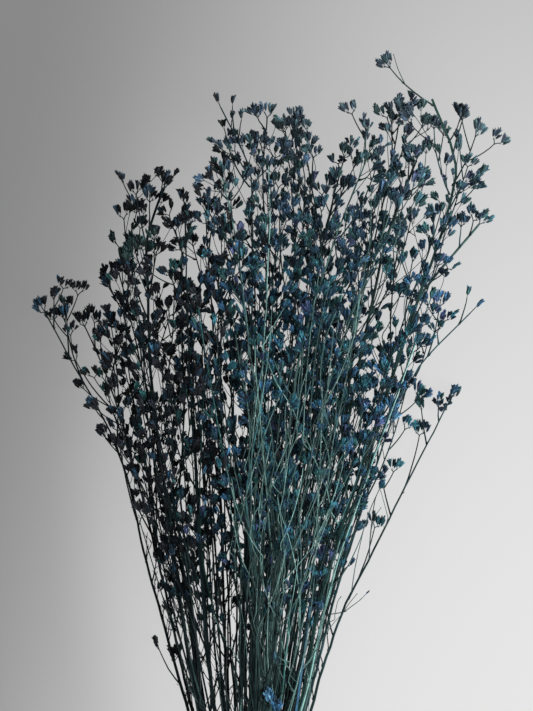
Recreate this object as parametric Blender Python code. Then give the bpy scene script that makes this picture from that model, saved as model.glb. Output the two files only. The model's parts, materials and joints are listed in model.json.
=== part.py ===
"""A bunch of dyed, preserved statice lying on its side, held by turns of twine round its stems.

X runs across the fan of heads, +Y from the cut ends to the heads, and +Z up from the surface.
The origin is on the surface, under the middle of the twine. Each stem is one solid with its
branches and its spikelets, the small clusters of papery florets at the ends of the twigs.
"""

import math
import random

import bmesh
import bpy
import numpy as np
from mathutils import Vector

MM = 0.001
SEED = 41

# The tied waist: nineteen stems stand in rows, one above another, as they pack under the twine.
STEM_R = 1.25 * MM
STEM_PITCH = 2.95 * MM
ROW_COUNTS = (3, 4, 5, 4, 3)
TWINE_T = 2.0 * MM
TWINE_GAP = 0.3 * MM
BUNDLE_R = 2 * STEM_PITCH + STEM_R
TIE_R = BUNDLE_R + TWINE_GAP + TWINE_T
TIE_SIDES = 14
GRIP_Y = 8 * MM

# The twine: turns side by side, each with a flat outer face and a groove to the next, and a knot
# on top whose two tails hang over the sides.
TWINE_TURNS = 5
TURN_PITCH = 2.1 * MM
TURN_FLAT = 1.1 * MM
GROOVE_DEPTH = 0.7 * MM
KNOT_SIZE = (4.2 * MM, 3.0 * MM, 2.4 * MM)
TAIL_R = 0.95 * MM
TAIL_SIDES = 5

# The cut ends behind the twine, and the height that each row of stems reaches in the heads.
CUT_Y = -94 * MM
CUT_SPREAD = 1.35
CUT_STAGGER = 5 * MM
HEAD_Y = 280 * MM
ROW_HEAD_Z = tuple(z * MM for z in (15, 32, 50, 68, 86))
TOP_Z = 108 * MM
STATION_STEP = 32 * MM
SHORTEST_STEP = 13 * MM
FIRST_FREE_POINT = 3

# A stem thins from the twine to its tip, and so do its branches and twigs. Each of these is
# rooted on its parent's axis, with this share of the parent's radius there.
STEM_SIDES = 4
TIP_R = 0.6 * MM
TAPER_POWER = 0.8
TWIG_SIDES = 3
BRANCH_R = (0.85 * MM, 0.6 * MM)
TWIG_R = 0.5 * MM
ROOT_SHARE = 0.5

# The room kept between stems above the twine, and between whatever else grows. The stems are
# eased apart a little at a time, at these shares of each stretch between two of their points.
STEM_CLEARANCE = 0.9 * MM
CLEARANCE = 0.5 * MM
SPREAD_ROUNDS = 60
SPREAD_EASE = 0.3
SPREAD_SHARES = (0.0, 0.25, 0.5, 0.75)

# A spikelet is a lobed funnel: each lobe is one of the florets that open from its neck. The
# notches between lobes and the throat lie this share of the way along it, and the notches this
# share of the way out.
SPIKELET_L = 9.0 * MM
SPIKELET_R = 4.2 * MM
NOTCH_ALONG = 0.78
NOTCH_OUT = 0.62
THROAT_ALONG = 0.55
SPIKELET_MIDDLE = 0.6

# The room that a spikelet takes, as shares of its length and radius: its foot, then its lobes.
FOOT_L, FOOT_R = 0.4, 0.36
LOBES_AT, LOBES_R = 0.72, 1.1

# The fan is traced from straight above, by an eye over this point and this far over this height,
# so a point nearer to the eye stands a little further in than it looks.
EYE_X, EYE_Y = 10.25 * MM, 266.75 * MM
EYE_DISTANCE = 1.7
TRACED_Z = 45 * MM

# Each stem: its row under the twine, counted from the surface, how high its head lies against
# its row's height, and the points it runs through as traced, (x, y) in millimetres.
STEMS = {
    "stem_left_low": (0, 0.9, [
        (-27, 89), (-37, 134), (-49, 184), (-58, 219), (-67, 249), (-77, 274), (-83, 286),
    ]),
    "stem_middle_low": (0, 1.1, [(5, 89), (13, 174), (21, 254), (25, 304), (23, 349), (19, 384)]),
    "stem_right_low": (0, 0.85, [(33, 89), (42, 124), (53, 149), (72, 185), (89, 221), (105, 250)]),
    "stem_left_side": (1, 0.9, [
        (-21, 89), (-30, 149), (-43, 214), (-54, 270), (-60, 301), (-66, 312),
    ]),
    "stem_left_inner": (1, 1.0, [
        (-9, 89), (-12, 174), (-15, 254), (-19, 312), (-21, 330), (-20, 344),
    ]),
    "stem_right_inner": (1, 1.1, [
        (11, 89), (20, 194), (31, 269), (38, 319), (43, 349), (46, 361), (52, 370),
    ]),
    "stem_right_reach": (1, 0.7, [
        (30, 89), (41, 134), (53, 174), (69, 222), (82, 255), (98, 274), (111, 285), (114, 293),
    ]),
    "stem_left_reach": (2, 0.6, [
        (-29, 89), (-47, 154), (-57, 192), (-60, 213), (-71, 235), (-92, 272), (-103, 293),
    ]),
    "stem_left_tall": (2, 0.95, [
        (-24, 89), (-33, 144), (-41, 204), (-48, 260), (-49, 310), (-49, 329), (-43, 347),
        (-38, 355),
    ]),
    "stem_middle": (2, 1.0, [
        (2, 89), (6, 194), (9, 284), (11, 310), (8, 344), (9, 369), (11, 391),
    ]),
    "stem_right_high": (2, 1.05, [
        (19, 89), (27, 139), (41, 214), (52, 269), (63, 319), (72, 359), (78, 391),
    ]),
    "stem_right_wide": (2, 0.85, [
        (29, 89), (38, 134), (52, 184), (67, 234), (79, 274), (88, 298), (102, 317), (120, 336),
    ]),
    "stem_left_upper": (3, 0.95, [
        (-16, 89), (-21, 144), (-25, 204), (-29, 279), (-30, 324), (-31, 347),
    ]),
    "stem_left_spire": (3, 1.0, [
        (-3, 89), (1, 194), (3, 294), (3, 334), (0, 367), (-5, 381), (-16, 395),
    ]),
    "stem_middle_spire": (3, 1.0, [
        (15, 89), (24, 149), (33, 229), (39, 284), (39, 318), (31, 347), (28, 359), (30, 376),
    ]),
    "stem_right_upper": (3, 0.95, [
        (23, 89), (32, 139), (47, 214), (59, 274), (69, 319), (79, 354), (88, 369),
    ]),
    "stem_front_left": (4, 0.95, [
        (8, 89), (15, 168), (12, 203), (5, 244), (0, 286), (-5, 324), (-10, 349), (-13, 361),
    ]),
    "stem_front_middle": (4, 1.0, [
        (12, 89), (16, 164), (16, 199), (22, 234), (28, 272), (36, 299), (47, 332), (55, 359),
        (65, 373),
    ]),
    "stem_front_right": (4, 0.9, [
        (27, 89), (37, 144), (52, 194), (69, 244), (82, 282), (89, 304), (97, 326), (104, 344),
        (105, 362), (99, 379), (93, 395),
    ]),
}
BARE_TIPS = ("stem_front_right",)

# The branches that shape the fan's edge: where each leaves its stem, where it ends, both in
# millimetres, and how many twigs it bears. The height of its end is found as it is placed.
EDGE_BRANCHES = {
    "stem_left_reach": [
        (99, -46, 124, 0), (111, -32, 118, 1), (152, -44, 168, 1), (234, -78, 243, 1), (253, -92, 289, 2),
        (262, -90, 296, 1), (276, -96, 299, 1),
    ],
    "stem_left_low": [
        (228, -62, 246, 1), (242, -72, 270, 1), (252, -64, 274, 1), (262, -73, 279, 1), (270, -76, 288, 1),
    ],
    "stem_left_side": [
        (262, -64, 296, 1), (284, -70, 304, 1), (290, -59, 313, 1), (250, -52, 282, 1), (226, -58, 262, 1),
    ],
    "stem_left_tall": [
        (302, -58, 327, 1), (306, -53, 324, 1), (316, -56, 352, 1), (326, -48, 349, 1), (343, -41, 358, 0),
        (296, -44, 322, 1), (262, -36, 292, 2), (240, -56, 276, 1),
    ],
    "stem_left_upper": [(312, -37, 335, 1), (318, -26, 338, 1), (288, -40, 312, 2)],
    "stem_left_inner": [(318, -16, 340, 1), (296, -28, 326, 1)],
    "stem_front_left": [(343, -19, 358, 1), (336, -8, 353, 1), (312, -14, 334, 1)],
    "stem_left_spire": [(375, -7, 393, 0), (372, -2, 386, 0), (356, -8, 373, 1), (344, 8, 364, 1)],
    "stem_middle": [(383, 3, 390, 0), (362, 6, 378, 1), (330, 18, 356, 1)],
    "stem_middle_low": [(366, 25, 390, 0), (350, 26, 378, 1)],
    "stem_middle_spire": [(352, 34, 370, 1), (340, 22, 366, 1)],
    "stem_right_inner": [(360, 44, 367, 0), (336, 50, 352, 1)],
    "stem_front_middle": [(364, 60, 384, 1), (352, 66, 358, 1)],
    "stem_right_high": [(372, 69, 391, 1), (366, 73, 387, 1), (352, 82, 380, 1)],
    "stem_right_upper": [(352, 82, 370, 1), (346, 92, 356, 1)],
    "stem_front_right": [
        (389, 68, 414, 0), (371, 109, 388, 1), (336, 113, 366, 2), (346, 117, 381, 2), (324, 108, 352, 1),
    ],
    "stem_right_wide": [(330, 115, 339, 0), (320, 108, 336, 1), (300, 98, 316, 1)],
    "stem_right_reach": [
        (272, 95, 283, 0), (266, 98, 296, 2), (256, 92, 276, 1), (286, 112, 299, 0),
    ],
    "stem_right_low": [
        (221, 87, 244, 0), (229, 96, 245, 0), (239, 101, 246, 0), (198, 79, 236, 1), (185, 67, 210, 1),
        (150, 62, 190, 2), (246, 106, 255, 0),
    ],
}

# The low branches that the heads rest on: each droops until its spikelet is this far from the
# surface. The numbers are those of an edge branch, without the twigs.
REST_GAP = 0.05 * MM
REST_ROUNDS = 8
REST_BOW = 0.3
REST_BRANCHES = {
    "stem_left_low": [(176, -66, 226), (236, -88, 268)],
    "stem_middle_low": [(214, 14, 262), (300, 32, 338)],
    "stem_right_low": [(142, 66, 186), (196, 88, 232)],
}

# Inside this line the fan is filled with more branches. Each pair is (x, y) in millimetres.
FAN_OUTLINE = [
    (-29, 95), (-48, 165), (-59, 205), (-70, 245), (-80, 282), (-73, 306), (-65, 317),
    (-60, 350), (-40, 362), (-23, 355), (-15, 394), (12, 394), (27, 391), (37, 369), (52, 374),
    (60, 389), (77, 398), (97, 379), (119, 381), (117, 358), (99, 324), (99, 285), (92, 269),
    (77, 244), (69, 224), (57, 185), (42, 140), (33, 95),
]

# A branch leaves its stem sideways and then turns up: its curve's middle control lies these
# shares of the way from its root to its end, in x, y and z.
SIDEWAYS_FIRST = (0.62, 0.42, 0.6)

# The branches that fill the fan: how many a stem bears, from how far up to how far below its
# tip, how they lean from it in degrees, their greatest length and the share of it they take.
FILL_BRANCHES = 5
FILL_FIRST_Y = 104 * MM
FILL_BELOW_TIP = 22 * MM
FILL_LEAN = (12, 28)
FILL_SIDE_TURN = 1.4
FILL_LENGTH = 82 * MM
FILL_LENGTH_SHARE = (0.5, 1.1)
FILL_FLATNESS = 0.7
FILL_BOW = 0.08
FILL_TWIGS = (2, 2, 3)
SPIKELET_SCALE = (0.85, 1.1)

# Twigs: where they leave their branch, as shares of its length, and how they lean and how long
# they are.
TWIG_SHARES = (0.86, 0.42)
TWIG_LEAN = (26, 44)
TWIG_SIDE_TURN = 1.3
TWIG_LENGTH = (8 * MM, 18 * MM)
TWIG_SCALE = (0.8, 1.05)
TWIG_UPTURN = 0.35

# How often a free place is sought, and how far apart spikelets need to look from above, where
# a step in height counts for less than one across.
FILL_TRIES = 40
TWIG_TRIES = 20
FILL_SPACING = 16 * MM
TWIG_SPACING = 9 * MM
HEIGHT_WEIGHT = 0.4
EDGE_HEIGHTS = (0, 3, -3, 6, -6, 9, -9, 12, -12, 16, -16, 20, -20, 25, -25)
EDGE_SLIDES = (0, 4, -4)
EDGE_BOWS = (0, 3, -3)
EDGE_RISE = 0.1
GOLDEN_TURN = math.pi * (3 - math.sqrt(5))

# A tail's points, (x, y, height over the turns) in millimetres. The other tail is its half turn.
TAIL_POINTS = [(1.5, 0, 1), (6, -2, 1.5), (11, -5, -1.5), (14, -9, -7)]

# Sprays on the left of the fan are dyed navy, and those on the right are teal.
NAVY = (0.012, 0.022, 0.05)
TEAL = (0.03, 0.13, 0.17)
NAVY_X, TEAL_X = -60 * MM, 60 * MM
SPRAY_ROUGHNESS = 0.75
TWINE_COLOUR = (0.42, 0.3, 0.17)
TWINE_ROUGHNESS = 0.9


def lerp(a, b, t):
    """The value this share of the way from a to b."""
    return a + (b - a) * t


def unit(v):
    """The direction of a vector, with length one."""
    return v / max(np.linalg.norm(v), 1e-12)


def as_traced(x, y, z):
    """The point at height z that the eye sees at the traced point (x, y), given in millimetres."""
    shrink = 1 - (z - TRACED_Z) / EYE_DISTANCE
    return np.array([EYE_X + (x * MM - EYE_X) * shrink, EYE_Y + (y * MM - EYE_Y) * shrink, z])


def smooth_through(points, y):
    """The point at height y of a smooth line through points that rise in y."""
    heights = points[:, 1]
    k = int(np.clip(np.searchsorted(heights, y) - 1, 0, len(points) - 2))
    slopes = np.gradient(points, heights, axis=0)
    step = heights[k + 1] - heights[k]
    t = (y - heights[k]) / step
    h = (2 * t**3 - 3 * t**2 + 1, t**3 - 2 * t**2 + t, 3 * t**2 - 2 * t**3, t**3 - t**2)
    return h[0] * points[k] + h[1] * step * slopes[k] + h[2] * points[k + 1] + h[3] * step * slopes[k + 1]


def tie_slots():
    """The place of each stem under the twine, row by row from the surface, by name."""
    slots = {}
    for row, count in enumerate(ROW_COUNTS):
        names = [name for name, (its_row, _, _) in STEMS.items() if its_row == row]
        names.sort(key=lambda name: STEMS[name][2][0][0])
        z = TIE_R + (row - 2) * STEM_PITCH * math.sqrt(3) / 2
        for column, name in enumerate(names):
            slots[name] = ((column - (count - 1) / 2) * STEM_PITCH, z)
    return slots


def stem_route(name, slot, rng):
    """The points that a stem's line runs through, from its cut end to its tip."""
    row, share, fan = STEMS[name]
    x, z = slot
    head_z = ROW_HEAD_Z[row] * share
    cut = (x * CUT_SPREAD, CUT_Y + rng.uniform(-1, 1) * CUT_STAGGER, TIE_R + (z - TIE_R) * CUT_SPREAD)
    route = [cut, (x, -GRIP_Y, z), (x, GRIP_Y, z)]
    for fan_x, fan_y in fan:
        rise = min(1.0, fan_y * MM / HEAD_Y)
        route.append(as_traced(fan_x, fan_y, lerp(z, head_z, rise)))
    if name not in BARE_TIPS:
        route[-1] = short_of(route[-2], route[-1], 1.0)
    return np.array(route)


def short_of(start, end, scale):
    """The neck of a spikelet whose middle is at end, when it is reached from start."""
    return end - unit(end - start) * SPIKELET_MIDDLE * SPIKELET_L * scale


def station_heights(route):
    """The heights at which a stem's line is sampled: its ends, the twine, and even steps above."""
    tip = route[-1][1]
    steps = np.arange(GRIP_Y + STATION_STEP, tip - SHORTEST_STEP, STATION_STEP)
    return [route[0][1], -GRIP_Y, GRIP_Y, *steps, tip]


def spread_apart(lines):
    """Bends the stems clear of each other above the twine, a little at a time."""
    names = sorted(lines)
    for _ in range(SPREAD_ROUNDS):
        for i, a in enumerate(names):
            for b in names[i + 1 :]:
                count = min(len(lines[a]), len(lines[b])) - 1
                for k in range(FIRST_FREE_POINT, count):
                    for share in SPREAD_SHARES:
                        push_clear(lines[a], lines[b], k, share)


def push_clear(line_a, line_b, k, share):
    """Moves two stems apart across the fan and in height, where they pass too close after point k."""
    a = lerp(line_a[k], line_a[k + 1], share)
    b = lerp(line_b[k], line_b[k + 1], share)
    away = np.array([a[0] - b[0], 0, a[2] - b[2]])
    needed = 2 * STEM_R + STEM_CLEARANCE
    distance = np.linalg.norm(away)
    if distance >= needed:
        return
    away = unit(away) * (needed - distance) * SPREAD_EASE
    for line, sign in ((line_a, 1), (line_b, -1)):
        line[k] += sign * away * (1 - share)
        line[k + 1] += sign * away * share


def stem_lines():
    """Every stem's line, as an array of points from the cut end to the tip, by name."""
    rng = random.Random(SEED)
    slots = tie_slots()
    lines = {}
    for name in STEMS:
        route = stem_route(name, slots[name], rng)
        lines[name] = np.array([smooth_through(route, y) for y in station_heights(route)])
    spread_apart(lines)
    return lines


def stem_radius(line, point):
    """The stem's radius at a point of its line: full up to the twine, then thinner to the tip."""
    share = np.clip((point[1] - GRIP_Y) / (line[-1][1] - GRIP_Y), 0, 1)
    return lerp(STEM_R, TIP_R, share**TAPER_POWER)


class Growth:
    """What has grown so far, as rods of (start, end, radius), so that the next piece can keep clear."""

    def __init__(self):
        self.starts, self.ends, self.radii = np.zeros((0, 3)), np.zeros((0, 3)), np.zeros(0)
        self.owners, self.last_owner = np.zeros(0, int), 0
        self.heads = np.zeros((0, 3))

    def new_owner(self):
        """A number that no piece has yet."""
        self.last_owner += 1
        return self.last_owner

    def add_head(self, rods):
        """Adds the room that a spikelet takes, and notes where its middle is."""
        self.add(rods, self.new_owner())
        self.heads = np.vstack([self.heads, rods[-1][0]])

    def bareness(self, point):
        """How far a point lies from the nearest spikelet, as it looks from above."""
        return np.linalg.norm((self.heads - point) * (1, 1, HEIGHT_WEIGHT), axis=1).min()

    def add(self, rods, owner):
        """Adds rods that belong to one owner."""
        self.starts = np.vstack([self.starts, [r[0] for r in rods]])
        self.ends = np.vstack([self.ends, [r[1] for r in rods]])
        self.radii = np.append(self.radii, [r[2] for r in rods])
        self.owners = np.append(self.owners, [owner] * len(rods))

    def room(self, rods, parent):
        """The least gap between these rods and all that has grown, apart from their parent."""
        others = self.owners != parent
        starts, ends, radii = self.starts[others], self.ends[others], self.radii[others]
        gap = math.inf
        for start, end, radius in rods:
            gap = min(gap, (rod_distances(start, end, starts, ends) - radii - radius).min())
        return gap


def rod_distances(p, q, starts, ends):
    """The distance from the rod p-q to each of the rods starts-ends."""
    d1, d2, r = q - p, ends - starts, p - starts
    a = max(d1 @ d1, 1e-14)
    e = np.maximum((d2 * d2).sum(1), 1e-14)
    b, c, f = d2 @ d1, r @ d1, (d2 * r).sum(1)
    s = np.clip((b * f - c * e) / np.maximum(a * e - b * b, 1e-20), 0, 1)
    t = np.clip((b * s + f) / e, 0, 1)
    s = np.clip((b * t - c) / a, 0, 1)
    t = np.clip((b * s + f) / e, 0, 1)
    return np.linalg.norm(r + s[:, None] * d1 - t[:, None] * d2, axis=1)


def spikelet_rods(neck, direction, scale):
    """The room that a spikelet takes: its slim foot, and a ball round its open lobes."""
    foot = neck + direction * FOOT_L * SPIKELET_L * scale
    middle = neck + direction * LOBES_AT * SPIKELET_L * scale
    return [(neck, foot, FOOT_R * SPIKELET_R * scale), (middle, middle, LOBES_R * SPIKELET_R * scale)]


def inside_fan(point):
    """Whether a point lies inside the fan's outline, seen from above."""
    x, y = point[0] / MM, point[1] / MM
    inside = False
    for (x0, y0), (x1, y1) in zip(FAN_OUTLINE, FAN_OUTLINE[1:] + FAN_OUTLINE[:1]):
        if (y0 > y) != (y1 > y) and x < x0 + (y - y0) * (x1 - x0) / (y1 - y0):
            inside = not inside
    return inside


def above_surface(rods):
    """Whether rods lie clear of the surface and below the top of the heads."""
    return all(min(a[2], b[2]) - radius > 0 and max(a[2], b[2]) < TOP_Z for a, b, radius in rods)


def curve_up(start, end, bow):
    """Three points from start to end on a curve that leaves sideways and then turns up."""
    control = start + (end - start) * SIDEWAYS_FIRST + bow
    return np.array([start, (start + 2 * control + end) / 4, end])


def branch_rods(line):
    """The room that the two halves of a branch take."""
    return [(line[0], line[1], BRANCH_R[0]), (line[1], line[2], BRANCH_R[0])]


class Stem:
    """One stem: its line, its branches, its twigs, and the spikelets that these bear."""

    def __init__(self, name, line, growth, number):
        self.name, self.line, self.growth, self.number = name, line, growth, number
        self.rng = random.Random(SEED * 1000 + number)
        self.branches, self.twigs = [], []
        radii = [stem_radius(line, point) for point in line]
        self.owner = growth.new_owner()
        growth.add([(line[k], line[k + 1], radii[k]) for k in range(len(line) - 1)], self.owner)

    def at(self, y):
        """The point of the stem at height y, and its direction there."""
        k = int(np.clip(np.searchsorted(self.line[:, 1], y) - 1, 0, len(self.line) - 2))
        a, b = self.line[k], self.line[k + 1]
        return lerp(a, b, (y - a[1]) / (b[1] - a[1])), unit(b - a)

    def try_branch(self, line, scale, twigs, resting=False):
        """Adds a branch along this line, with a spikelet at its end, if it fits. Says whether it did."""
        rods = branch_rods(line)
        head = spikelet_rods(line[-1], unit(line[-1] - line[-2]), scale)
        fits = resting or above_surface(rods + head)
        if not fits or self.growth.room(rods + head, self.owner) < CLEARANCE:
            return False
        owner = self.growth.new_owner()
        self.growth.add(rods, owner)
        self.growth.add_head(head)
        self.branches.append({"line": line, "scale": scale, "twigs": twigs, "owner": owner})
        return True

    def edge_branch(self, start_y, end_x, end_y, twigs):
        """A branch whose place across the fan is given: the first height that is free is taken."""
        scale = self.rng.uniform(*SPIKELET_SCALE)
        for step in EDGE_HEIGHTS:
            for slide in EDGE_SLIDES:
                start, _ = self.at((start_y + slide) * MM)
                end = as_traced(end_x, end_y, start[2] + (step + EDGE_RISE * (end_y - start_y)) * MM)
                end = short_of(start, end, scale)
                for bow in EDGE_BOWS:
                    if self.try_branch(curve_up(start, end, np.array([0, 0, bow * MM])), scale, twigs):
                        return

    def rest_branch(self, start_y, end_x, end_y):
        """A branch that droops until its spikelet touches the surface."""
        start, _ = self.at(start_y * MM)
        end = short_of(start, as_traced(end_x, end_y, 0), 1.0)
        for _ in range(REST_ROUNDS):
            line = curve_up(start, end, np.array([0, 0, REST_BOW * start[2]]))
            heading = unit(line[-1] - line[-2])
            corners = ring(end, heading, BRANCH_R[1], TWIG_SIDES)
            spikelet(corners, [range(TWIG_SIDES)], heading, 1.0)
            end[2] += REST_GAP - min(corner[2] for corner in corners)
        self.try_branch(line, 1.0, 0, resting=True)

    def fill_branch(self, y, turn):
        """A branch inside the fan: of several free places, the one that looks barest from above."""
        start, along = self.at(y)
        side = unit(np.cross(along, (0, 0, 1)))
        up = np.cross(side, along)
        longest = min((self.line[-1][1] - y) / 2 + FILL_BELOW_TIP, FILL_LENGTH)
        best = None
        for _ in range(FILL_TRIES):
            angle = turn + self.rng.uniform(-FILL_SIDE_TURN, FILL_SIDE_TURN)
            lean = math.radians(self.rng.uniform(*FILL_LEAN))
            length = longest * self.rng.uniform(*FILL_LENGTH_SHARE)
            scale = self.rng.uniform(*SPIKELET_SCALE)
            out = math.cos(angle) * side + FILL_FLATNESS * math.sin(angle) * up
            end = start + length * (math.cos(lean) * along + math.sin(lean) * out)
            line = curve_up(start, end, FILL_BOW * length * out)
            rods = branch_rods(line) + spikelet_rods(end, unit(line[-1] - line[-2]), scale)
            if not inside_fan(end) or not above_surface(rods):
                continue
            if self.growth.room(rods, self.owner) < CLEARANCE:
                continue
            bareness = min(self.growth.bareness(rods[-1][0]), FILL_SPACING)
            if best is None or bareness > best[0]:
                best = (bareness, line, scale)
        if best:
            self.try_branch(best[1], best[2], self.rng.choice(FILL_TWIGS))

    def grow_twigs(self, branch):
        """Twigs on alternate sides of a branch, from its tip down, each with a spikelet at its end."""
        root, middle, tip = branch["line"]
        turn = self.rng.uniform(0, 2 * math.pi)
        for k in range(branch["twigs"]):
            share = 2 * lerp(*TWIG_SHARES, (k + 0.5) / max(branch["twigs"], 2))
            start = lerp(middle, tip, share - 1) if share > 1 else lerp(root, middle, share)
            self.twig(branch, start, unit(tip - middle), turn + k * math.pi)

    def twig(self, branch, start, along, turn):
        """A twig and its spikelet: of several free places, the one that looks barest from above."""
        side = unit(np.cross(along, (0.3, 0, 1)))
        up = np.cross(side, along)
        best = None
        for _ in range(TWIG_TRIES):
            angle = turn + self.rng.uniform(-TWIG_SIDE_TURN, TWIG_SIDE_TURN)
            lean = math.radians(self.rng.uniform(*TWIG_LEAN))
            length = self.rng.uniform(*TWIG_LENGTH)
            scale = self.rng.uniform(*TWIG_SCALE)
            out = math.cos(angle) * side + math.sin(angle) * up
            direction = unit(math.cos(lean) * along + math.sin(lean) * out)
            neck = start + length * direction
            heading = unit(direction + np.array([0, TWIG_UPTURN, 0]))
            rods = [(start, neck, TWIG_R)] + spikelet_rods(neck, heading, scale)
            if not above_surface(rods) or self.growth.room(rods, branch["owner"]) < CLEARANCE:
                continue
            bareness = min(self.growth.bareness(rods[-1][0]), TWIG_SPACING)
            if best is None or bareness > best[0]:
                best = (bareness, rods, {"start": start, "neck": neck, "heading": heading, "scale": scale})
        if best:
            _, rods, twig = best
            self.growth.add(rods[:1], self.growth.new_owner())
            self.growth.add_head(rods[1:])
            self.twigs.append(twig)

    def tip_spikelet(self):
        """The spikelet that ends the stem."""
        self.growth.add_head(spikelet_rods(self.line[-1], unit(self.line[-1] - self.line[-2]), 1.0))


def grow_bunch():
    """Every stem with its branches and spikelets, each clear of the others."""
    growth = Growth()
    lines = stem_lines()
    stems = [Stem(name, lines[name], growth, number) for number, name in enumerate(STEMS)]
    for stem in stems:
        if stem.name not in BARE_TIPS:
            stem.tip_spikelet()
    for stem in stems:
        for given in REST_BRANCHES.get(stem.name, []):
            stem.rest_branch(*given)
    for stem in stems:
        for given in EDGE_BRANCHES[stem.name]:
            stem.edge_branch(*given)
    for level in range(FILL_BRANCHES):
        for stem in stems:
            top = stem.line[-1][1] - FILL_BELOW_TIP
            share = (level + stem.rng.random()) / FILL_BRANCHES
            stem.fill_branch(lerp(FILL_FIRST_Y, top, share), GOLDEN_TURN * (level + stem.number))
    for stem in stems:
        for branch in stem.branches:
            stem.grow_twigs(branch)
    return stems


def side_and_up(direction):
    """Two directions at right angles to this one and to each other."""
    side = unit(np.cross(direction, (0.1, 0.2, 1)))
    return side, np.cross(side, direction)


def ring(centre, direction, radius, sides):
    """The corners of an even polygon round a centre, square to a direction."""
    side, up = side_and_up(direction)
    turns = [2 * math.pi * k / sides for k in range(sides)]
    return [centre + radius * (math.cos(a) * side + math.sin(a) * up) for a in turns]


def new_object(name, corners, faces):
    """A closed solid with these corners and faces, all facing outwards."""
    mesh = bpy.data.meshes.new(name)
    mesh.from_pydata([tuple(c) for c in corners], [], faces)
    bm = bmesh.new()
    bm.from_mesh(mesh)
    bmesh.ops.triangulate(bm, faces=bm.faces[:])
    bmesh.ops.recalc_face_normals(bm, faces=bm.faces[:])
    bm.to_mesh(mesh)
    bm.free()
    return bpy.data.objects.new(name, mesh)


def spikelet(corners, faces, heading, scale):
    """Opens the last ring of corners into a lobed funnel that points along heading."""
    lobes = len(faces[0])
    first = len(corners) - lobes
    neck = sum(corners[first:]) / lobes
    side, up = side_and_up(heading)
    rim = first + lobes
    spoke = corners[first] - neck
    turn = math.atan2(spoke @ up, spoke @ side)
    for k in range(2 * lobes):
        along, out = (1, 1) if k % 2 == 0 else (NOTCH_ALONG, NOTCH_OUT)
        angle = turn + math.pi * k / lobes
        outward = math.cos(angle) * side + math.sin(angle) * up
        corners.append(neck + scale * (along * SPIKELET_L * heading + out * SPIKELET_R * outward))
    throat = len(corners)
    corners.append(neck + scale * THROAT_ALONG * SPIKELET_L * heading)
    for k in range(lobes):
        here, there = first + k, first + (k + 1) % lobes
        lobe, notch, next_lobe = rim + 2 * k, rim + 2 * k + 1, rim + (2 * k + 2) % (2 * lobes)
        faces += [(here, lobe, notch), (here, notch, there), (there, notch, next_lobe)]
        faces += [(lobe, throat, notch), (notch, throat, next_lobe)]


def shoot(name, line, radii, sides, heading=None, scale=0.0):
    """A tapering rod along a line. With a scale, it ends in a spikelet, and if not, in a flat cut."""
    corners = []
    for k, point in enumerate(line):
        before, after = line[max(k - 1, 0)], line[min(k + 1, len(line) - 1)]
        corners += ring(point, unit(after - before), radii[k], sides)
    faces = [tuple(range(sides))]
    for k in range(len(line) - 1):
        for i in range(sides):
            here, there = k * sides + i, k * sides + (i + 1) % sides
            faces.append((here, there, there + sides, here + sides))
    if scale:
        spikelet(corners, faces, heading, scale)
    else:
        faces.append(tuple(range(len(corners) - sides, len(corners))))
    return new_object(name, corners, faces)


def fuse(body, pieces):
    """Joins the pieces to the body as one solid, and removes them."""
    collection = bpy.data.collections.new(body.name + "_pieces")
    bpy.context.scene.collection.children.link(collection)
    for piece in pieces:
        collection.objects.link(piece)
    bpy.context.scene.collection.objects.link(body)
    union = body.modifiers.new("union", "BOOLEAN")
    union.operation = "UNION"
    union.operand_type = "COLLECTION"
    union.collection = collection
    evaluated = body.evaluated_get(bpy.context.evaluated_depsgraph_get())
    mesh = bpy.data.meshes.new_from_object(evaluated)
    body.modifiers.clear()
    body.data = mesh
    for piece in pieces:
        bpy.data.objects.remove(piece)
    bpy.data.collections.remove(collection)


def paint(thing, colour, roughness):
    """Gives an object its own plain material."""
    material = bpy.data.materials.new(thing.name)
    material.use_nodes = True
    shader = material.node_tree.nodes["Principled BSDF"]
    shader.inputs["Base Color"].default_value = (*colour, 1)
    shader.inputs["Roughness"].default_value = roughness
    thing.data.materials.clear()
    thing.data.materials.append(material)


def build_stem(stem):
    """One stem with its branches, twigs and spikelets, as one solid."""
    line = stem.line
    radii = [stem_radius(line, point) for point in line]
    tip_scale = 0.0 if stem.name in BARE_TIPS else 1.0
    body = shoot(stem.name, line, radii, STEM_SIDES, unit(line[-1] - line[-2]), tip_scale)
    pieces = []
    for branch in stem.branches:
        root, middle, tip = branch["line"]
        radii = [ROOT_SHARE * stem_radius(line, root), *BRANCH_R]
        heading = unit(tip - middle)
        pieces.append(shoot("branch", branch["line"], radii, TWIG_SIDES, heading, branch["scale"]))
    for twig in stem.twigs:
        path = [twig["start"], twig["neck"]]
        radii = [ROOT_SHARE * TWIG_R, TWIG_R]
        pieces.append(shoot("twig", path, radii, TWIG_SIDES, twig["heading"], twig["scale"]))
    fuse(body, pieces)
    share = np.clip((line[-1][0] - NAVY_X) / (TEAL_X - NAVY_X), 0, 1)
    paint(body, lerp(np.array(NAVY), np.array(TEAL), share), SPRAY_ROUGHNESS)


def tie_profile():
    """The twine's cross-section on one side, as (distance out, y), with a ridge for each turn."""
    half = TWINE_TURNS * TURN_PITCH / 2
    profile = [(TIE_R - TWINE_T, half - GROOVE_DEPTH), (TIE_R - TWINE_T, GROOVE_DEPTH - half)]
    for turn in range(TWINE_TURNS):
        middle = (turn + 0.5) * TURN_PITCH - half
        profile.append((TIE_R - GROOVE_DEPTH, middle - TURN_PITCH / 2))
        profile += [(TIE_R, middle - TURN_FLAT / 2), (TIE_R, middle + TURN_FLAT / 2)]
    profile.append((TIE_R - GROOVE_DEPTH, half))
    return profile


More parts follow.
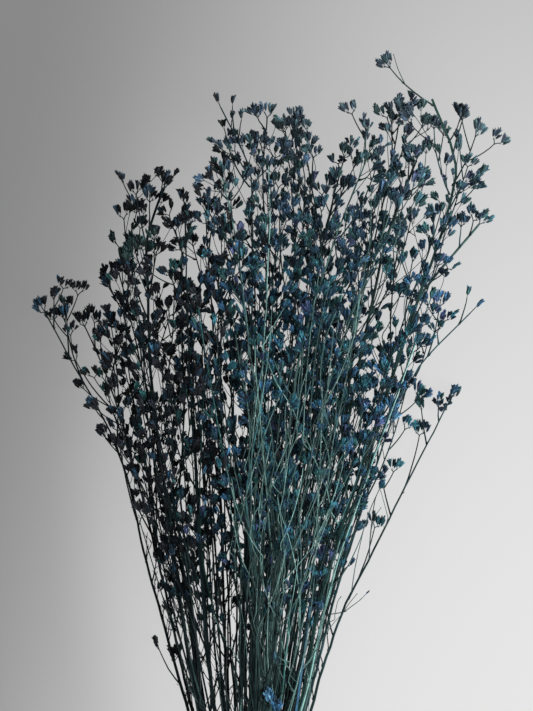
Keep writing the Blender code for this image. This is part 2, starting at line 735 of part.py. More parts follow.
def build_tie():
    """The turns of twine round the stems, with their knot and its tails, as one solid."""
    profile = tie_profile()
    count = len(profile)
    widen = 1 / math.cos(math.pi / TIE_SIDES)
    corners, faces = [], []
    for k in range(TIE_SIDES):
        turn = (k + 0.5) * 2 * math.pi / TIE_SIDES
        for out, y in profile:
            corners.append((out * widen * math.sin(turn), y, TIE_R - out * widen * math.cos(turn)))
        for i in range(count):
            a, b = k * count + i, k * count + (i + 1) % count
            there = ((k + 1) % TIE_SIDES - k) * count
            faces.append((a, b, b + there, a + there))
    body = new_object("twine_tie", corners, faces)
    fuse(body, [build_knot()] + [build_tail(side) for side in (-1, 1)])
    paint(body, TWINE_COLOUR, TWINE_ROUGHNESS)


def build_knot():
    """The knot: a faceted lump, half sunk in the turns."""
    bm = bmesh.new()
    bmesh.ops.create_icosphere(bm, subdivisions=1, radius=1)
    bmesh.ops.scale(bm, vec=Vector(KNOT_SIZE), verts=bm.verts)
    bmesh.ops.translate(bm, vec=Vector((0, 0, 2 * TIE_R + 0.3 * KNOT_SIZE[2])), verts=bm.verts)
    mesh = bpy.data.meshes.new("knot")
    bm.to_mesh(mesh)
    bm.free()
    return bpy.data.objects.new("knot", mesh)


def build_tail(side):
    """A loose end of the twine, from the knot over one side of the turns."""
    line = np.array([(side * x * MM, side * y * MM, 2 * TIE_R + z * MM) for x, y, z in TAIL_POINTS])
    return shoot("tail", line, [TAIL_R] * len(line), TAIL_SIDES)


def clear_scene():
    """Removes whatever the scene starts with."""
    for thing in list(bpy.data.objects):
        bpy.data.objects.remove(thing)


if __name__ == "__main__":
    clear_scene()
    for stem in grow_bunch():
        build_stem(stem)
    build_tie()
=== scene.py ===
"""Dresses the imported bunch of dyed, preserved statice: finer stems, twigs, papery florets and twine.

The growth is the one that the part is made by, from the same named values and seeds, so each
spray's finer piece lies where its solid does. X runs across the fan of heads, +Y from the cut
ends to the heads and +Z up from the surface, in metres.
"""

import functools
import json
import math
import random

import bpy
import numpy as np
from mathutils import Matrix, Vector


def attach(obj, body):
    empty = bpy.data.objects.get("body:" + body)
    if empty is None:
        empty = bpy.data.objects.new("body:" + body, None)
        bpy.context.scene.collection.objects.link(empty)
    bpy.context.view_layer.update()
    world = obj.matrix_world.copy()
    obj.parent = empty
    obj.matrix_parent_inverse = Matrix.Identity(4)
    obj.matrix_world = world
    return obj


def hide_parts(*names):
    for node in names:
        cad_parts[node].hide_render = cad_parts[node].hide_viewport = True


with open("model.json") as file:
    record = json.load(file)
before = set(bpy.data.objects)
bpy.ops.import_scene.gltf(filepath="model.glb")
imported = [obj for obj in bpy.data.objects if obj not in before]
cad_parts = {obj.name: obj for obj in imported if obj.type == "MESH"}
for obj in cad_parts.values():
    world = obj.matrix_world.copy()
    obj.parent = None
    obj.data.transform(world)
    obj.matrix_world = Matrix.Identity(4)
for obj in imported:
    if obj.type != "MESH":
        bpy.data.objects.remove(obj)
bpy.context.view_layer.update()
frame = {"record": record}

MM = 0.001
SEED = 41

# Each kind of draw has its own range of seeds: the coarse growth, the finer growth and the looks.
GROWTH_SEEDS, FINE_SEEDS, LOOK_SEEDS = 1000, 2000, 3000
FRONT_SEED = 5

# The tied waist: nineteen stems stand in rows, one above another, as they pack under the twine.
STEM_R = 1.25 * MM
STEM_PITCH = 2.95 * MM
ROW_COUNTS = (3, 4, 5, 4, 3)
TWINE_T = 2.0 * MM
TWINE_GAP = 0.3 * MM
BUNDLE_R = 2 * STEM_PITCH + STEM_R
TIE_R = BUNDLE_R + TWINE_GAP + TWINE_T
GRIP_Y = 8 * MM

# The twine's turns lie side by side, under a knot on top whose two tails hang over the sides.
TWINE_TURNS = 5
TURN_PITCH = 2.1 * MM

# The cut ends behind the twine, and the height that each row of stems reaches in the heads.
CUT_Y = -94 * MM
CUT_SPREAD = 1.35
CUT_STAGGER = 5 * MM
HEAD_Y = 280 * MM
ROW_HEAD_Z = tuple(z * MM for z in (15, 32, 50, 68, 86))
TOP_Z = 108 * MM
STATION_STEP = 32 * MM
SHORTEST_STEP = 13 * MM
FIRST_FREE_POINT = 3

# A solid's stem thins from the twine to its tip, and so do its branches. Its twigs have so many sides.
TIP_R = 0.6 * MM
TAPER_POWER = 0.8
TWIG_SIDES = 3
BRANCH_R = (0.85 * MM, 0.6 * MM)
TWIG_R = 0.5 * MM

# The room kept between stems above the twine, and between whatever else grows. The stems are
# eased apart a little at a time, at these shares of each stretch between two of their points.
STEM_CLEARANCE = 0.9 * MM
CLEARANCE = 0.5 * MM
SPREAD_ROUNDS = 60
SPREAD_EASE = 0.3
SPREAD_SHARES = (0.0, 0.25, 0.5, 0.75)

# The solid's spikelet is a lobed funnel: each lobe is one of the florets that open from its neck. The
# notches between the lobes lie this share of the way along it, and this share of the way out.
SPIKELET_L = 9.0 * MM
SPIKELET_R = 4.2 * MM
NOTCH_ALONG = 0.78
NOTCH_OUT = 0.62
SPIKELET_MIDDLE = 0.6

# The room that a spikelet takes, as shares of its length and radius: its foot, then its lobes.
FOOT_L, FOOT_R = 0.4, 0.36
LOBES_AT, LOBES_R = 0.72, 1.1

# The fan is traced from straight above, by an eye over this point and this far over this height,
# so a point nearer to the eye stands a little further in than it looks.
EYE_X, EYE_Y = 10.25 * MM, 266.75 * MM
EYE_DISTANCE = 1.7
TRACED_Z = 45 * MM

# Each stem: its row under the twine, counted from the surface, how high its head lies against
# its row's height, and the points it runs through as traced, (x, y) in millimetres.
STEMS = {
    "stem_left_low": (0, 0.9, [
        (-27, 89), (-37, 134), (-49, 184), (-58, 219), (-67, 249), (-77, 274), (-83, 286),
    ]),
    "stem_middle_low": (0, 1.1, [(5, 89), (13, 174), (21, 254), (25, 304), (23, 349), (19, 384)]),
    "stem_right_low": (0, 0.85, [(33, 89), (42, 124), (53, 149), (72, 185), (89, 221), (105, 250)]),
    "stem_left_side": (1, 0.9, [
        (-21, 89), (-30, 149), (-43, 214), (-54, 270), (-60, 301), (-66, 312),
    ]),
    "stem_left_inner": (1, 1.0, [
        (-9, 89), (-12, 174), (-15, 254), (-19, 312), (-21, 330), (-20, 344),
    ]),
    "stem_right_inner": (1, 1.1, [
        (11, 89), (20, 194), (31, 269), (38, 319), (43, 349), (46, 361), (52, 370),
    ]),
    "stem_right_reach": (1, 0.7, [
        (30, 89), (41, 134), (53, 174), (69, 222), (82, 255), (98, 274), (111, 285), (114, 293),
    ]),
    "stem_left_reach": (2, 0.6, [
        (-29, 89), (-47, 154), (-57, 192), (-60, 213), (-71, 235), (-92, 272), (-103, 293),
    ]),
    "stem_left_tall": (2, 0.95, [
        (-24, 89), (-33, 144), (-41, 204), (-48, 260), (-49, 310), (-49, 329), (-43, 347),
        (-38, 355),
    ]),
    "stem_middle": (2, 1.0, [
        (2, 89), (6, 194), (9, 284), (11, 310), (8, 344), (9, 369), (11, 391),
    ]),
    "stem_right_high": (2, 1.05, [
        (19, 89), (27, 139), (41, 214), (52, 269), (63, 319), (72, 359), (78, 391),
    ]),
    "stem_right_wide": (2, 0.85, [
        (29, 89), (38, 134), (52, 184), (67, 234), (79, 274), (88, 298), (102, 317), (120, 336),
    ]),
    "stem_left_upper": (3, 0.95, [
        (-16, 89), (-21, 144), (-25, 204), (-29, 279), (-30, 324), (-31, 347),
    ]),
    "stem_left_spire": (3, 1.0, [
        (-3, 89), (1, 194), (3, 294), (3, 334), (0, 367), (-5, 381), (-16, 395),
    ]),
    "stem_middle_spire": (3, 1.0, [
        (15, 89), (24, 149), (33, 229), (39, 284), (39, 318), (31, 347), (28, 359), (30, 376),
    ]),
    "stem_right_upper": (3, 0.95, [
        (23, 89), (32, 139), (47, 214), (59, 274), (69, 319), (79, 354), (88, 369),
    ]),
    "stem_front_left": (4, 0.95, [
        (8, 89), (15, 168), (12, 203), (5, 244), (0, 286), (-5, 324), (-10, 349), (-13, 361),
    ]),
    "stem_front_middle": (4, 1.0, [
        (12, 89), (16, 164), (16, 199), (22, 234), (28, 272), (36, 299), (47, 332), (55, 359),
        (65, 373),
    ]),
    "stem_front_right": (4, 0.9, [
        (27, 89), (37, 144), (52, 194), (69, 244), (82, 282), (89, 304), (97, 326), (104, 344),
        (105, 362), (99, 379), (93, 395),
    ]),
}
BARE_TIPS = ("stem_front_right",)

# The branches that shape the fan's edge: where each leaves its stem, where it ends, both in
# millimetres, and how many twigs it bears. The height of its end is found as it is placed.
EDGE_BRANCHES = {
    "stem_left_reach": [
        (99, -46, 124, 0), (111, -32, 118, 1), (152, -44, 168, 1), (234, -78, 243, 1), (253, -92, 289, 2),
        (262, -90, 296, 1), (276, -96, 299, 1),
    ],
    "stem_left_low": [
        (228, -62, 246, 1), (242, -72, 270, 1), (252, -64, 274, 1), (262, -73, 279, 1), (270, -76, 288, 1),
    ],
    "stem_left_side": [
        (262, -64, 296, 1), (284, -70, 304, 1), (290, -59, 313, 1), (250, -52, 282, 1), (226, -58, 262, 1),
    ],
    "stem_left_tall": [
        (302, -58, 327, 1), (306, -53, 324, 1), (316, -56, 352, 1), (326, -48, 349, 1), (343, -41, 358, 0),
        (296, -44, 322, 1), (262, -36, 292, 2), (240, -56, 276, 1),
    ],
    "stem_left_upper": [(312, -37, 335, 1), (318, -26, 338, 1), (288, -40, 312, 2)],
    "stem_left_inner": [(318, -16, 340, 1), (296, -28, 326, 1)],
    "stem_front_left": [(343, -19, 358, 1), (336, -8, 353, 1), (312, -14, 334, 1)],
    "stem_left_spire": [(375, -7, 393, 0), (372, -2, 386, 0), (356, -8, 373, 1), (344, 8, 364, 1)],
    "stem_middle": [(383, 3, 390, 0), (362, 6, 378, 1), (330, 18, 356, 1)],
    "stem_middle_low": [(366, 25, 390, 0), (350, 26, 378, 1)],
    "stem_middle_spire": [(352, 34, 370, 1), (340, 22, 366, 1)],
    "stem_right_inner": [(360, 44, 367, 0), (336, 50, 352, 1)],
    "stem_front_middle": [(364, 60, 384, 1), (352, 66, 358, 1)],
    "stem_right_high": [(372, 69, 391, 1), (366, 73, 387, 1), (352, 82, 380, 1)],
    "stem_right_upper": [(352, 82, 370, 1), (346, 92, 356, 1)],
    "stem_front_right": [
        (389, 68, 414, 0), (371, 109, 388, 1), (336, 113, 366, 2), (346, 117, 381, 2), (324, 108, 352, 1),
    ],
    "stem_right_wide": [(330, 115, 339, 0), (320, 108, 336, 1), (300, 98, 316, 1)],
    "stem_right_reach": [
        (272, 95, 283, 0), (266, 98, 296, 2), (256, 92, 276, 1), (286, 112, 299, 0),
    ],
    "stem_right_low": [
        (221, 87, 244, 0), (229, 96, 245, 0), (239, 101, 246, 0), (198, 79, 236, 1), (185, 67, 210, 1),
        (150, 62, 190, 2), (246, 106, 255, 0),
    ],
}

# The low branches that the heads rest on: each droops until its spikelet is this far from the
# surface. The numbers are those of an edge branch, without the twigs.
REST_GAP = 0.05 * MM
REST_ROUNDS = 8
REST_BOW = 0.3
REST_BRANCHES = {
    "stem_left_low": [(176, -66, 226), (236, -88, 268)],
    "stem_middle_low": [(214, 14, 262), (300, 32, 338)],
    "stem_right_low": [(142, 66, 186), (196, 88, 232)],
}

# Inside this line the fan is filled with more branches. Each pair is (x, y) in millimetres.
FAN_OUTLINE = [
    (-29, 95), (-48, 165), (-59, 205), (-70, 245), (-80, 282), (-73, 306), (-65, 317),
    (-60, 350), (-40, 362), (-23, 355), (-15, 394), (12, 394), (27, 391), (37, 369), (52, 374),
    (60, 389), (77, 398), (97, 379), (119, 381), (117, 358), (99, 324), (99, 285), (92, 269),
    (77, 244), (69, 224), (57, 185), (42, 140), (33, 95),
]

# A branch leaves its stem sideways and then turns up: its curve's middle control lies these
# shares of the way from its root to its end, in x, y and z.
SIDEWAYS_FIRST = (0.62, 0.42, 0.6)

# The branches that fill the fan: how many a stem bears, from how far up to how far below its
# tip, how they lean from it in degrees, their greatest length and the share of it they take.
FILL_BRANCHES = 5
FILL_FIRST_Y = 104 * MM
FILL_BELOW_TIP = 22 * MM
FILL_LEAN = (12, 28)
FILL_SIDE_TURN = 1.4
FILL_LENGTH = 82 * MM
FILL_LENGTH_SHARE = (0.5, 1.1)
FILL_FLATNESS = 0.7
FILL_BOW = 0.08
FILL_TWIGS = (2, 2, 3)
SPIKELET_SCALE = (0.85, 1.1)

# Twigs: where they leave their branch, as shares of its length, and how they lean and how long
# they are.
TWIG_SHARES = (0.86, 0.42)
TWIG_LEAN = (26, 44)
TWIG_SIDE_TURN = 1.3
TWIG_LENGTH = (8 * MM, 18 * MM)
TWIG_SCALE = (0.8, 1.05)
TWIG_UPTURN = 0.35

# How often a free place is sought, and how far apart spikelets need to look from above, where
# a step in height counts for less than one across.
FILL_TRIES = 40
TWIG_TRIES = 20
FILL_SPACING = 16 * MM
TWIG_SPACING = 9 * MM
HEIGHT_WEIGHT = 0.4
EDGE_HEIGHTS = (0, 3, -3, 6, -6, 9, -9, 12, -12, 16, -16, 20, -20, 25, -25)
EDGE_SLIDES = (0, 4, -4)
EDGE_BOWS = (0, 3, -3)
EDGE_RISE = 0.1
GOLDEN_TURN = math.pi * (3 - math.sqrt(5))

# What a stalk's sides are taken square to.
UPWARD = np.array([0, 0, 1])
SKEWED = (0.3, 0, 1)

# A tail's points, (x, y, height over the turns) in millimetres. The other tail is its half turn.
TAIL_POINTS = [(-2.5, -1.2, -0.4), (1.5, 0, 1), (6, -2, 1.5), (11, -5, -1.5), (14, -9, -7)]
TAIL_STEPS = 8

# Each of the knot's two loops: its middle and its reach in x, y and z, and how it leans. Knot and
# tails are a little thinner than the turns.
LOOP_AT = (1.1 * MM, 0.5 * MM, 0.2 * MM)
LOOP_REACH = (2.0 * MM, 2.2 * MM, 1.3 * MM)
LOOP_LEAN = 0.7
LOOP_STEPS = 24
KNOT_THICKNESS = 0.85

# The twine's plies: how far from its middle and how thick they are, as shares of its radius, how
# far a ply runs in one twist, and how much their dyes differ.
TURN_STEPS = 72
PLIES = 3
PLY_OUT, PLY_R = 0.5, 0.56
PLY_PITCH = 4.6 * MM
PLY_SIDES = 8
PLY_SHADES = (0.85, 1.15)

# Its loose fibres: their lengths in millimetres, and how they lean, stand off and differ in dye. The
# last number keeps a fibre's direction from having no length.
FIBRES_PER_POINT = 0.5
FIBRE_LENGTHS = (0.6, 1.8)
FIBRE_LEAN = 1.5
FIBRE_RISE = 0.5 * MM
FIBRE_R = 0.06 * MM
FIBRE_LOWEST = 0.05 * MM
FIBRE_SHADE = 1.4
NOT_ZERO = 1e-7

# The finer growth that the solids leave out keeps this clear of all else, and below this height. The
# whole bunch takes the room of no more than so many rods.
ROD_LIMIT = 40000
FINE_CLEARANCE = 0.1 * MM
FINE_TOP_Z = 104 * MM

# How finely stalks are drawn: a stem straight up to the twine in so many points, then in steps and
# mostly smooth, a branch in steps, and twigs in so many points. Most wander a little from their curves.
STRAIGHT_POINTS = 8
STEM_FINE_STEP = 5.5 * MM
STEM_LAST_STEP = 3 * MM
STALK_STEP = 5 * MM
CURVE_FEWEST = 5
TWIG_POINTS = 6
FINE_POINTS, LONG_POINTS = 4, 8
SMOOTHNESS = 0.75
STEM_WANDER = 0.12 * MM
BRANCH_WANDER = 0.08 * MM
STRAND_WANDER = 0.2 * MM
TWIGLET_WANDER = 0.15 * MM

# How many sides stalks have: the stems with their ribs, branches and front stalks, strands, and the
# thinnest twigs.
STEM_RIB_SIDES = 10
FRONT_SIDES = 5
STRAND_SIDES = 4
FINE_SIDES = 3

# Strands are long thin stalks that rise from low on a stem and run up beside it. The stems in the
# middle bear more of the low ones.
STRANDS_PER_STEM = 5
STRAND_START = (25 * MM, 190 * MM)
STRAND_OFFSET = (5 * MM, 26 * MM)
STRAND_R = (0.5 * MM, 0.26 * MM)
LOW_STRANDS_PER_STEM = 3
LOW_START = (16 * MM, 70 * MM)
LOW_OFFSET = (2.5 * MM, 14 * MM)
LOW_R = (0.62 * MM, 0.26 * MM)
MIDDLE_STRANDS = 8
MIDDLE_X = (-18 * MM, 28 * MM)
MIDDLE_Y = 95 * MM

# A strand's turn round its stem in radians, the share of the way to the stem's tip that it reaches,
# how soon it stands off fully, how far off at its foot and how much further at its tip, and how flat
# the round is that strands stand on. It may cover one more gap after so many tries.
STRAND_TWIST = 1.1
STRAND_TOP_SHARE = (0.5, 0.95)
STRAND_STEP = 13 * MM
STRAND_FEWEST = 4
STRAND_RISE = 80 * MM
STRAND_SPREAD = (0.75, 0.5)
STRAND_FLATNESS = 0.75
STRAND_TRIES = 24
TRIES_PER_GAP = 4
STRAND_FLORETS = 5
STRAND_SCALE = 0.95

# Fine twigs, each with a cluster of florets: how often a place is tried, where it lies in its share
# of the carrier, how they lean in degrees, how long they are, of which some are long, how much their
# clusters turn away from them, and how far back they bend to that.
FINE_TRIES = 8
TWIG_PLACES = (0.2, 0.8)
FINE_LEAN = (14, 38)
FINE_LENGTH = (4 * MM, 13 * MM)
LONG_LENGTH = (13 * MM, 30 * MM)
LONG_SHARE = 0.22
FINE_TWIG_R = (0.23 * MM, 0.17 * MM)
FINE_SCALE = (0.75, 1.0)
HEADING_JITTER = 0.3
HEADING_BEND = 0.4

# How close clusters may look from above, where they lie more open, and where they are crowded:
# x, y, radius and how close, in millimetres.
CLOSEST = 2.1 * MM
OPEN_PLACES = [
    (-70, 252, 13, 5.2), (-14, 380, 14, 5.0), (104, 320, 20, 8.0), (-50, 212, 28, 5.0),
    (-62, 262, 22, 3.8), (-52, 300, 30, 3.6), (-24, 356, 26, 4.8), (8, 352, 20, 7.0),
    (42, 354, 18, 7.0), (98, 268, 28, 7.0), (104, 352, 20, 4.4), (-46, 236, 14, 5.0),
    (-52, 160, 22, 4.2), (66, 190, 16, 3.8),
]
CROWDED = [
    (80, 352, 16, 1.0), (75, 302, 13, 1.3), (74, 276, 12, 1.5), (34, 325, 10, 1.4), (20, 312, 8, 1.5),
    (-46, 348, 11, 1.3), (-20, 226, 12, 1.3), (67, 296, 14, 1.3), (48, 296, 12, 1.4), (-38, 290, 9, 1.4),
    (-45, 321, 9, 1.5), (-54, 322, 8, 1.5), (-30, 300, 8, 1.5), (-22, 258, 13, 1.5), (-10, 262, 10, 1.5),
    (-38, 246, 10, 1.5), (48, 320, 9, 1.6), (46, 280, 18, 1.4), (-8, 312, 10, 1.5), (70, 325, 9, 1.6),
    (8, 285, 14, 1.6), (62, 246, 16, 1.4),
]

# Thin stalks that show in front of the rest, each from its root up: how pale it is, how thick in
# millimetres, what ends it, and where it runs as traced, in millimetres.
FRONT_STALKS = [
    (0.8, 0.3, "head", [
        (7.5, 89), (8.5, 104.5), (10.5, 119.5), (12.5, 129.5), (15, 140.5), (17, 149.5), (18.5, 162),
        (19.5, 172),
    ]),
    (0.7, 0.3, "head", [(4, 89), (4.5, 99.5), (5.5, 112), (7, 124.5), (8, 135.5)]),
    (0.55, 0.36, "head", [
        (4.5, 122), (4, 134.5), (4.5, 144.5), (5, 152), (6.5, 164.5), (8.5, 174.5), (10, 184.5),
        (11.5, 190.5),
    ]),
    (0.6, 0.26, "head", [(5.5, 130.5), (7, 139.5), (10, 149.5), (13, 161), (14.5, 169.5)]),
    (0.4, 0.26, "head", [(7.5, 144.5), (11, 153.5), (15, 164.5), (17.5, 172)]),
    (0.5, 0.26, "head", [(20, 112.5), (19, 119.5), (17, 127), (14.5, 138.5), (12, 147)]),
    (0.4, 0.24, "bud", [(22, 113.5), (17.5, 115), (14.5, 119.5), (12.5, 124.5)]),
    ("blue", 0.85, "head", [(25, 89), (26.5, 99.5), (28.5, 114.5), (30, 124.5), (31, 132), (32, 141.5)]),
    (0.5, 0.28, "head", [(22, 107), (24, 115.5), (25.5, 124.5), (27, 137), (27.5, 149.5)]),
    (0.8, 0.28, "head", [
        (4, 153.5), (2, 156.5), (-1, 162.5), (-3, 168.5), (-4.5, 174), (-6.5, 184.5), (-8.5, 193),
    ]),
    (0.35, 0.26, "head", [(3, 155.5), (3.5, 164.5), (5.5, 174.5), (8, 184.5)]),
    (0.85, 0.34, "head", [
        (42.5, 188.5), (40.5, 199.5), (37.5, 207), (34.5, 214.5), (31, 223), (27, 230.5), (23.5, 239.5),
        (19, 247), (14.5, 254.5), (11, 263.5), (8, 272),
    ]),
    (0.6, 0.26, "head", [
        (13, 202.5), (15.5, 209.5), (18.5, 217), (22, 224.5), (25.5, 232), (28.5, 242), (31, 248.5),
        (32.5, 254.5),
    ]),
    (0.45, 0.26, "head", [(12.5, 200.5), (15.5, 205.5), (18.5, 210.5), (22.5, 219.5), (26.5, 228.5)]),
    (0.4, 0.3, "head", [
        (3, 172), (2.5, 184.5), (2.5, 199.5), (1.5, 214.5), (2, 224.5), (1.5, 234.5), (0.5, 244.5),
        (-0.5, 254.5),
    ]),
    (0.42, 0.28, "head", [(4, 164.5), (6.5, 179.5), (8, 194.5), (8.5, 212), (9, 224.5)]),
    (0.4, 0.28, "head", [(38.5, 203.5), (42, 210.5), (44.5, 219.5), (46, 229.5), (46.5, 242)]),
    (0.42, 0.28, "head", [(42, 203.5), (45, 210.5), (49.5, 219.5), (54.5, 229.5), (58.5, 238.5)]),
    (0.7, 0.26, "head", [(8, 270.5), (12, 278), (15.5, 284.5), (19, 290.5)]),
    (0.5, 0.24, "head", [(8, 263.5), (6, 268.5), (3.5, 273.5), (1, 279.5), (-0.5, 285.5)]),
    (0.6, 0.26, "head", [(61.5, 319.5), (62, 327), (62.5, 337), (62.5, 347)]),
    (0.7, 0.3, "head", [(66.5, 323), (69, 329.5), (71.5, 337), (72.5, 345.5)]),
    (0.75, 0.3, "head", [(54, 283.5), (57, 294.5), (61, 304), (64.5, 310.5), (68.5, 317.5)]),
    (0.6, 0.32, "head", [(54.5, 279.5), (56, 290.5), (57.5, 299.5), (59, 307), (60, 315.5)]),
    (0.6, 0.28, "head", [(45.5, 275.5), (46.5, 287), (47.5, 294.5), (48.5, 300.5)]),
    (0.5, 0.22, "head", [(48, 278.5), (49.5, 282), (52, 287), (55, 293.5)]),
    (0.65, 0.24, "bud", [(17, 147.5), (22, 150.5), (27, 153), (28.5, 153.5)]),
    (0.5, 0.4, "head", [
        (32, 114.5), (36, 124.5), (39.5, 139.5), (42.5, 149.5), (44.5, 164.5), (47, 174.5),
    ]),
    (0.4, 0.2, "bud", [(31, 89), (32, 97), (31.5, 104.5), (30, 110.5)]),
    (0.3, 0.34, "head", [(47, 155.5), (52, 163.5), (57, 174.5), (60, 183.5), (63, 192), (67, 200.5)]),
    (0.45, 0.28, "head", [(53, 150.5), (54.5, 160.5), (57, 172), (59, 180.5)]),
    (0.15, 0.34, "head", [(61.5, 165.5), (62, 174.5), (63, 184.5), (64.5, 194.5), (66.5, 199.5)]),
    (0.3, 0.22, "bud", [(71, 185.5), (69.5, 191.5), (67.5, 198.5)]),
    (0.08, 0.26, "knob", [(49, 138.5), (53, 141.5), (57, 144.5), (60, 147.5)]),
    (0.08, 0.2, "bud", [(50, 140.5), (52.5, 144), (55, 147)]),
    (0.12, 0.2, "bud", [(44, 134.5), (45, 140), (46, 144), (47, 145.5)]),
    (0.2, 0.24, "bud", [(35, 119.5), (39, 126), (43.5, 132.5), (47.5, 137)]),
    (0.2, 0.2, "bud", [(63, 181.5), (65, 187), (67, 190)]),
    (0.08, 0.24, "bud", [(78.5, 404.5), (76, 410), (74, 416.5)]),
    (0.1, 0.42, "none", [(104.5, 372), (107, 380.5), (109.5, 388.5)]),
    (0.15, 0.26, "head", [(79.5, 371.5), (85, 376), (91, 379.5), (93, 382.5)]),
    (0.1, 0.2, "bud", [(91, 381.5), (90.5, 385), (87.5, 386)]),
]

# The stalks that bear the dense clumps, in the same form. They grow after all that crosses.
CLUMP_STALKS = [
    (0.3, 0.3, "clump", [(8, 42), (10, 60), (11.5, 76), (12.5, 87), (12.5, 93)]),
    (0.3, 0.3, "clump", [(11, 42), (13.5, 60), (15, 74), (15.5, 82), (15.5, 88)]),
    (0.1, 0.35, "clump", [(-50, 299), (-54, 309), (-57, 316)]),
    (0.1, 0.35, "clump", [(-49, 301), (-51, 311), (-53, 320)]),
    (0.1, 0.3, "clump", [(82, 345), (84, 354), (83, 362)]),
    (0.1, 0.3, "clump", [(78, 340), (78, 350), (76, 358)]),
    (0.2, 0.3, "clump", [(86, 350), (89, 359), (90, 368)]),
    (0.1, 0.3, "clump", [(66, 322), (70, 333), (73, 343)]),
    (0.15, 0.3, "clump", [(68, 318), (74, 334), (79, 347)]),
    (0.1, 0.3, "clump", [(70, 318), (78, 332), (85, 342)]),
    (0.1, 0.3, "clump", [(68, 328), (70, 340), (72, 352)]),
    (0.15, 0.3, "clump", [(72, 330), (80, 343), (84, 352)]),
    (0.15, 0.3, "clump", [(74, 322), (77, 331), (76, 340)]),
    (0.15, 0.3, "clump", [(80, 336), (85, 346), (87, 356)]),
    (0.15, 0.3, "clump", [(62, 322), (65, 334), (67, 345)]),
    (0.15, 0.3, "clump", [(64, 290), (68, 300), (70, 309)]),
    (0.15, 0.3, "clump", [(68, 276), (74, 288), (77, 297)]),
]

# What ends a front stalk: how large its cluster is and how many florets it has, with none in a bud.
FRONT_STALK_ENDS = {
    "head": (0.85, 3), "clump": (1.15, 7), "bud": (0.5, 0), "knob": (1.1, 0), "none": None,
}

# A front stalk is rooted on what lies about this far below its first point, where height counts for
# less. It runs above what has grown within this reach of it, by this margin or by a clump's, and
# rises or falls by no more than this share of its run. It thins by this share, down to this many
# millimetres. Clusters that come later keep this far from it, as it looks from above.
ROOT_BELOW = 5 * MM
ROOT_WEIGHTS = (1, 1, 0.5)
TOP_REACH = 1.2 * MM
TOP_MARGIN = 0.8 * MM
CLUMP_MARGIN = 3.5 * MM
FRONT_TOP_Z = FINE_TOP_Z - MM
STEEPEST = 0.6
FRONT_TAPER, FRONT_THINNEST = 0.6, 0.16
FRONT_GAP = 1.4 * MM

# More stalks cross in front at random. Each kind: how many, the edges that their roots lie between
# as shares of the fan's width, their roots' heights, how they lean in degrees, how long and thick
# they are in millimetres, how pale, and what ends them.
CROSSING_STALKS = [
    (88, (0.42, 0.84), (75, 235), 10, (35, 85), (0.2, 0.34), (0.1, 0.6), "head"),
    (36, (0.4, 0.7), (70, 135), 8, (20, 55), (0.3, 0.5), (0.0, 0.25), "bud"),
    (48, (0.03, 0.42), (72, 150), 15, (14, 42), (0.14, 0.26), (0.0, 0.05), "bud"),
    (30, (0.12, 0.45), (110, 230), 9, (30, 70), (0.16, 0.3), (0.0, 0.06), "head"),
    (90, (0.02, 0.6), (66, 100), 4, (30, 95), (0.26, 0.5), (0.0, 0.08), "bud"),
    (50, (0.4, 0.8), (110, 265), 15, (18, 50), (0.14, 0.24), (0.25, 0.75), "bud"),
]

# They point away from one place below the fan, give or take their lean, and bend by about so many
# degrees a step, each of which is checked in parts. Below this height the fan has no outline, and
# these edges, in millimetres.
CROSSING_BEND = 5
CROSSING_STEPS = 5
CROSSING_CHECKS = 4
FAN_ROOT = (4, -20)
FAN_FOOT = 98 * MM
FOOT_EDGES = (-27, 30)

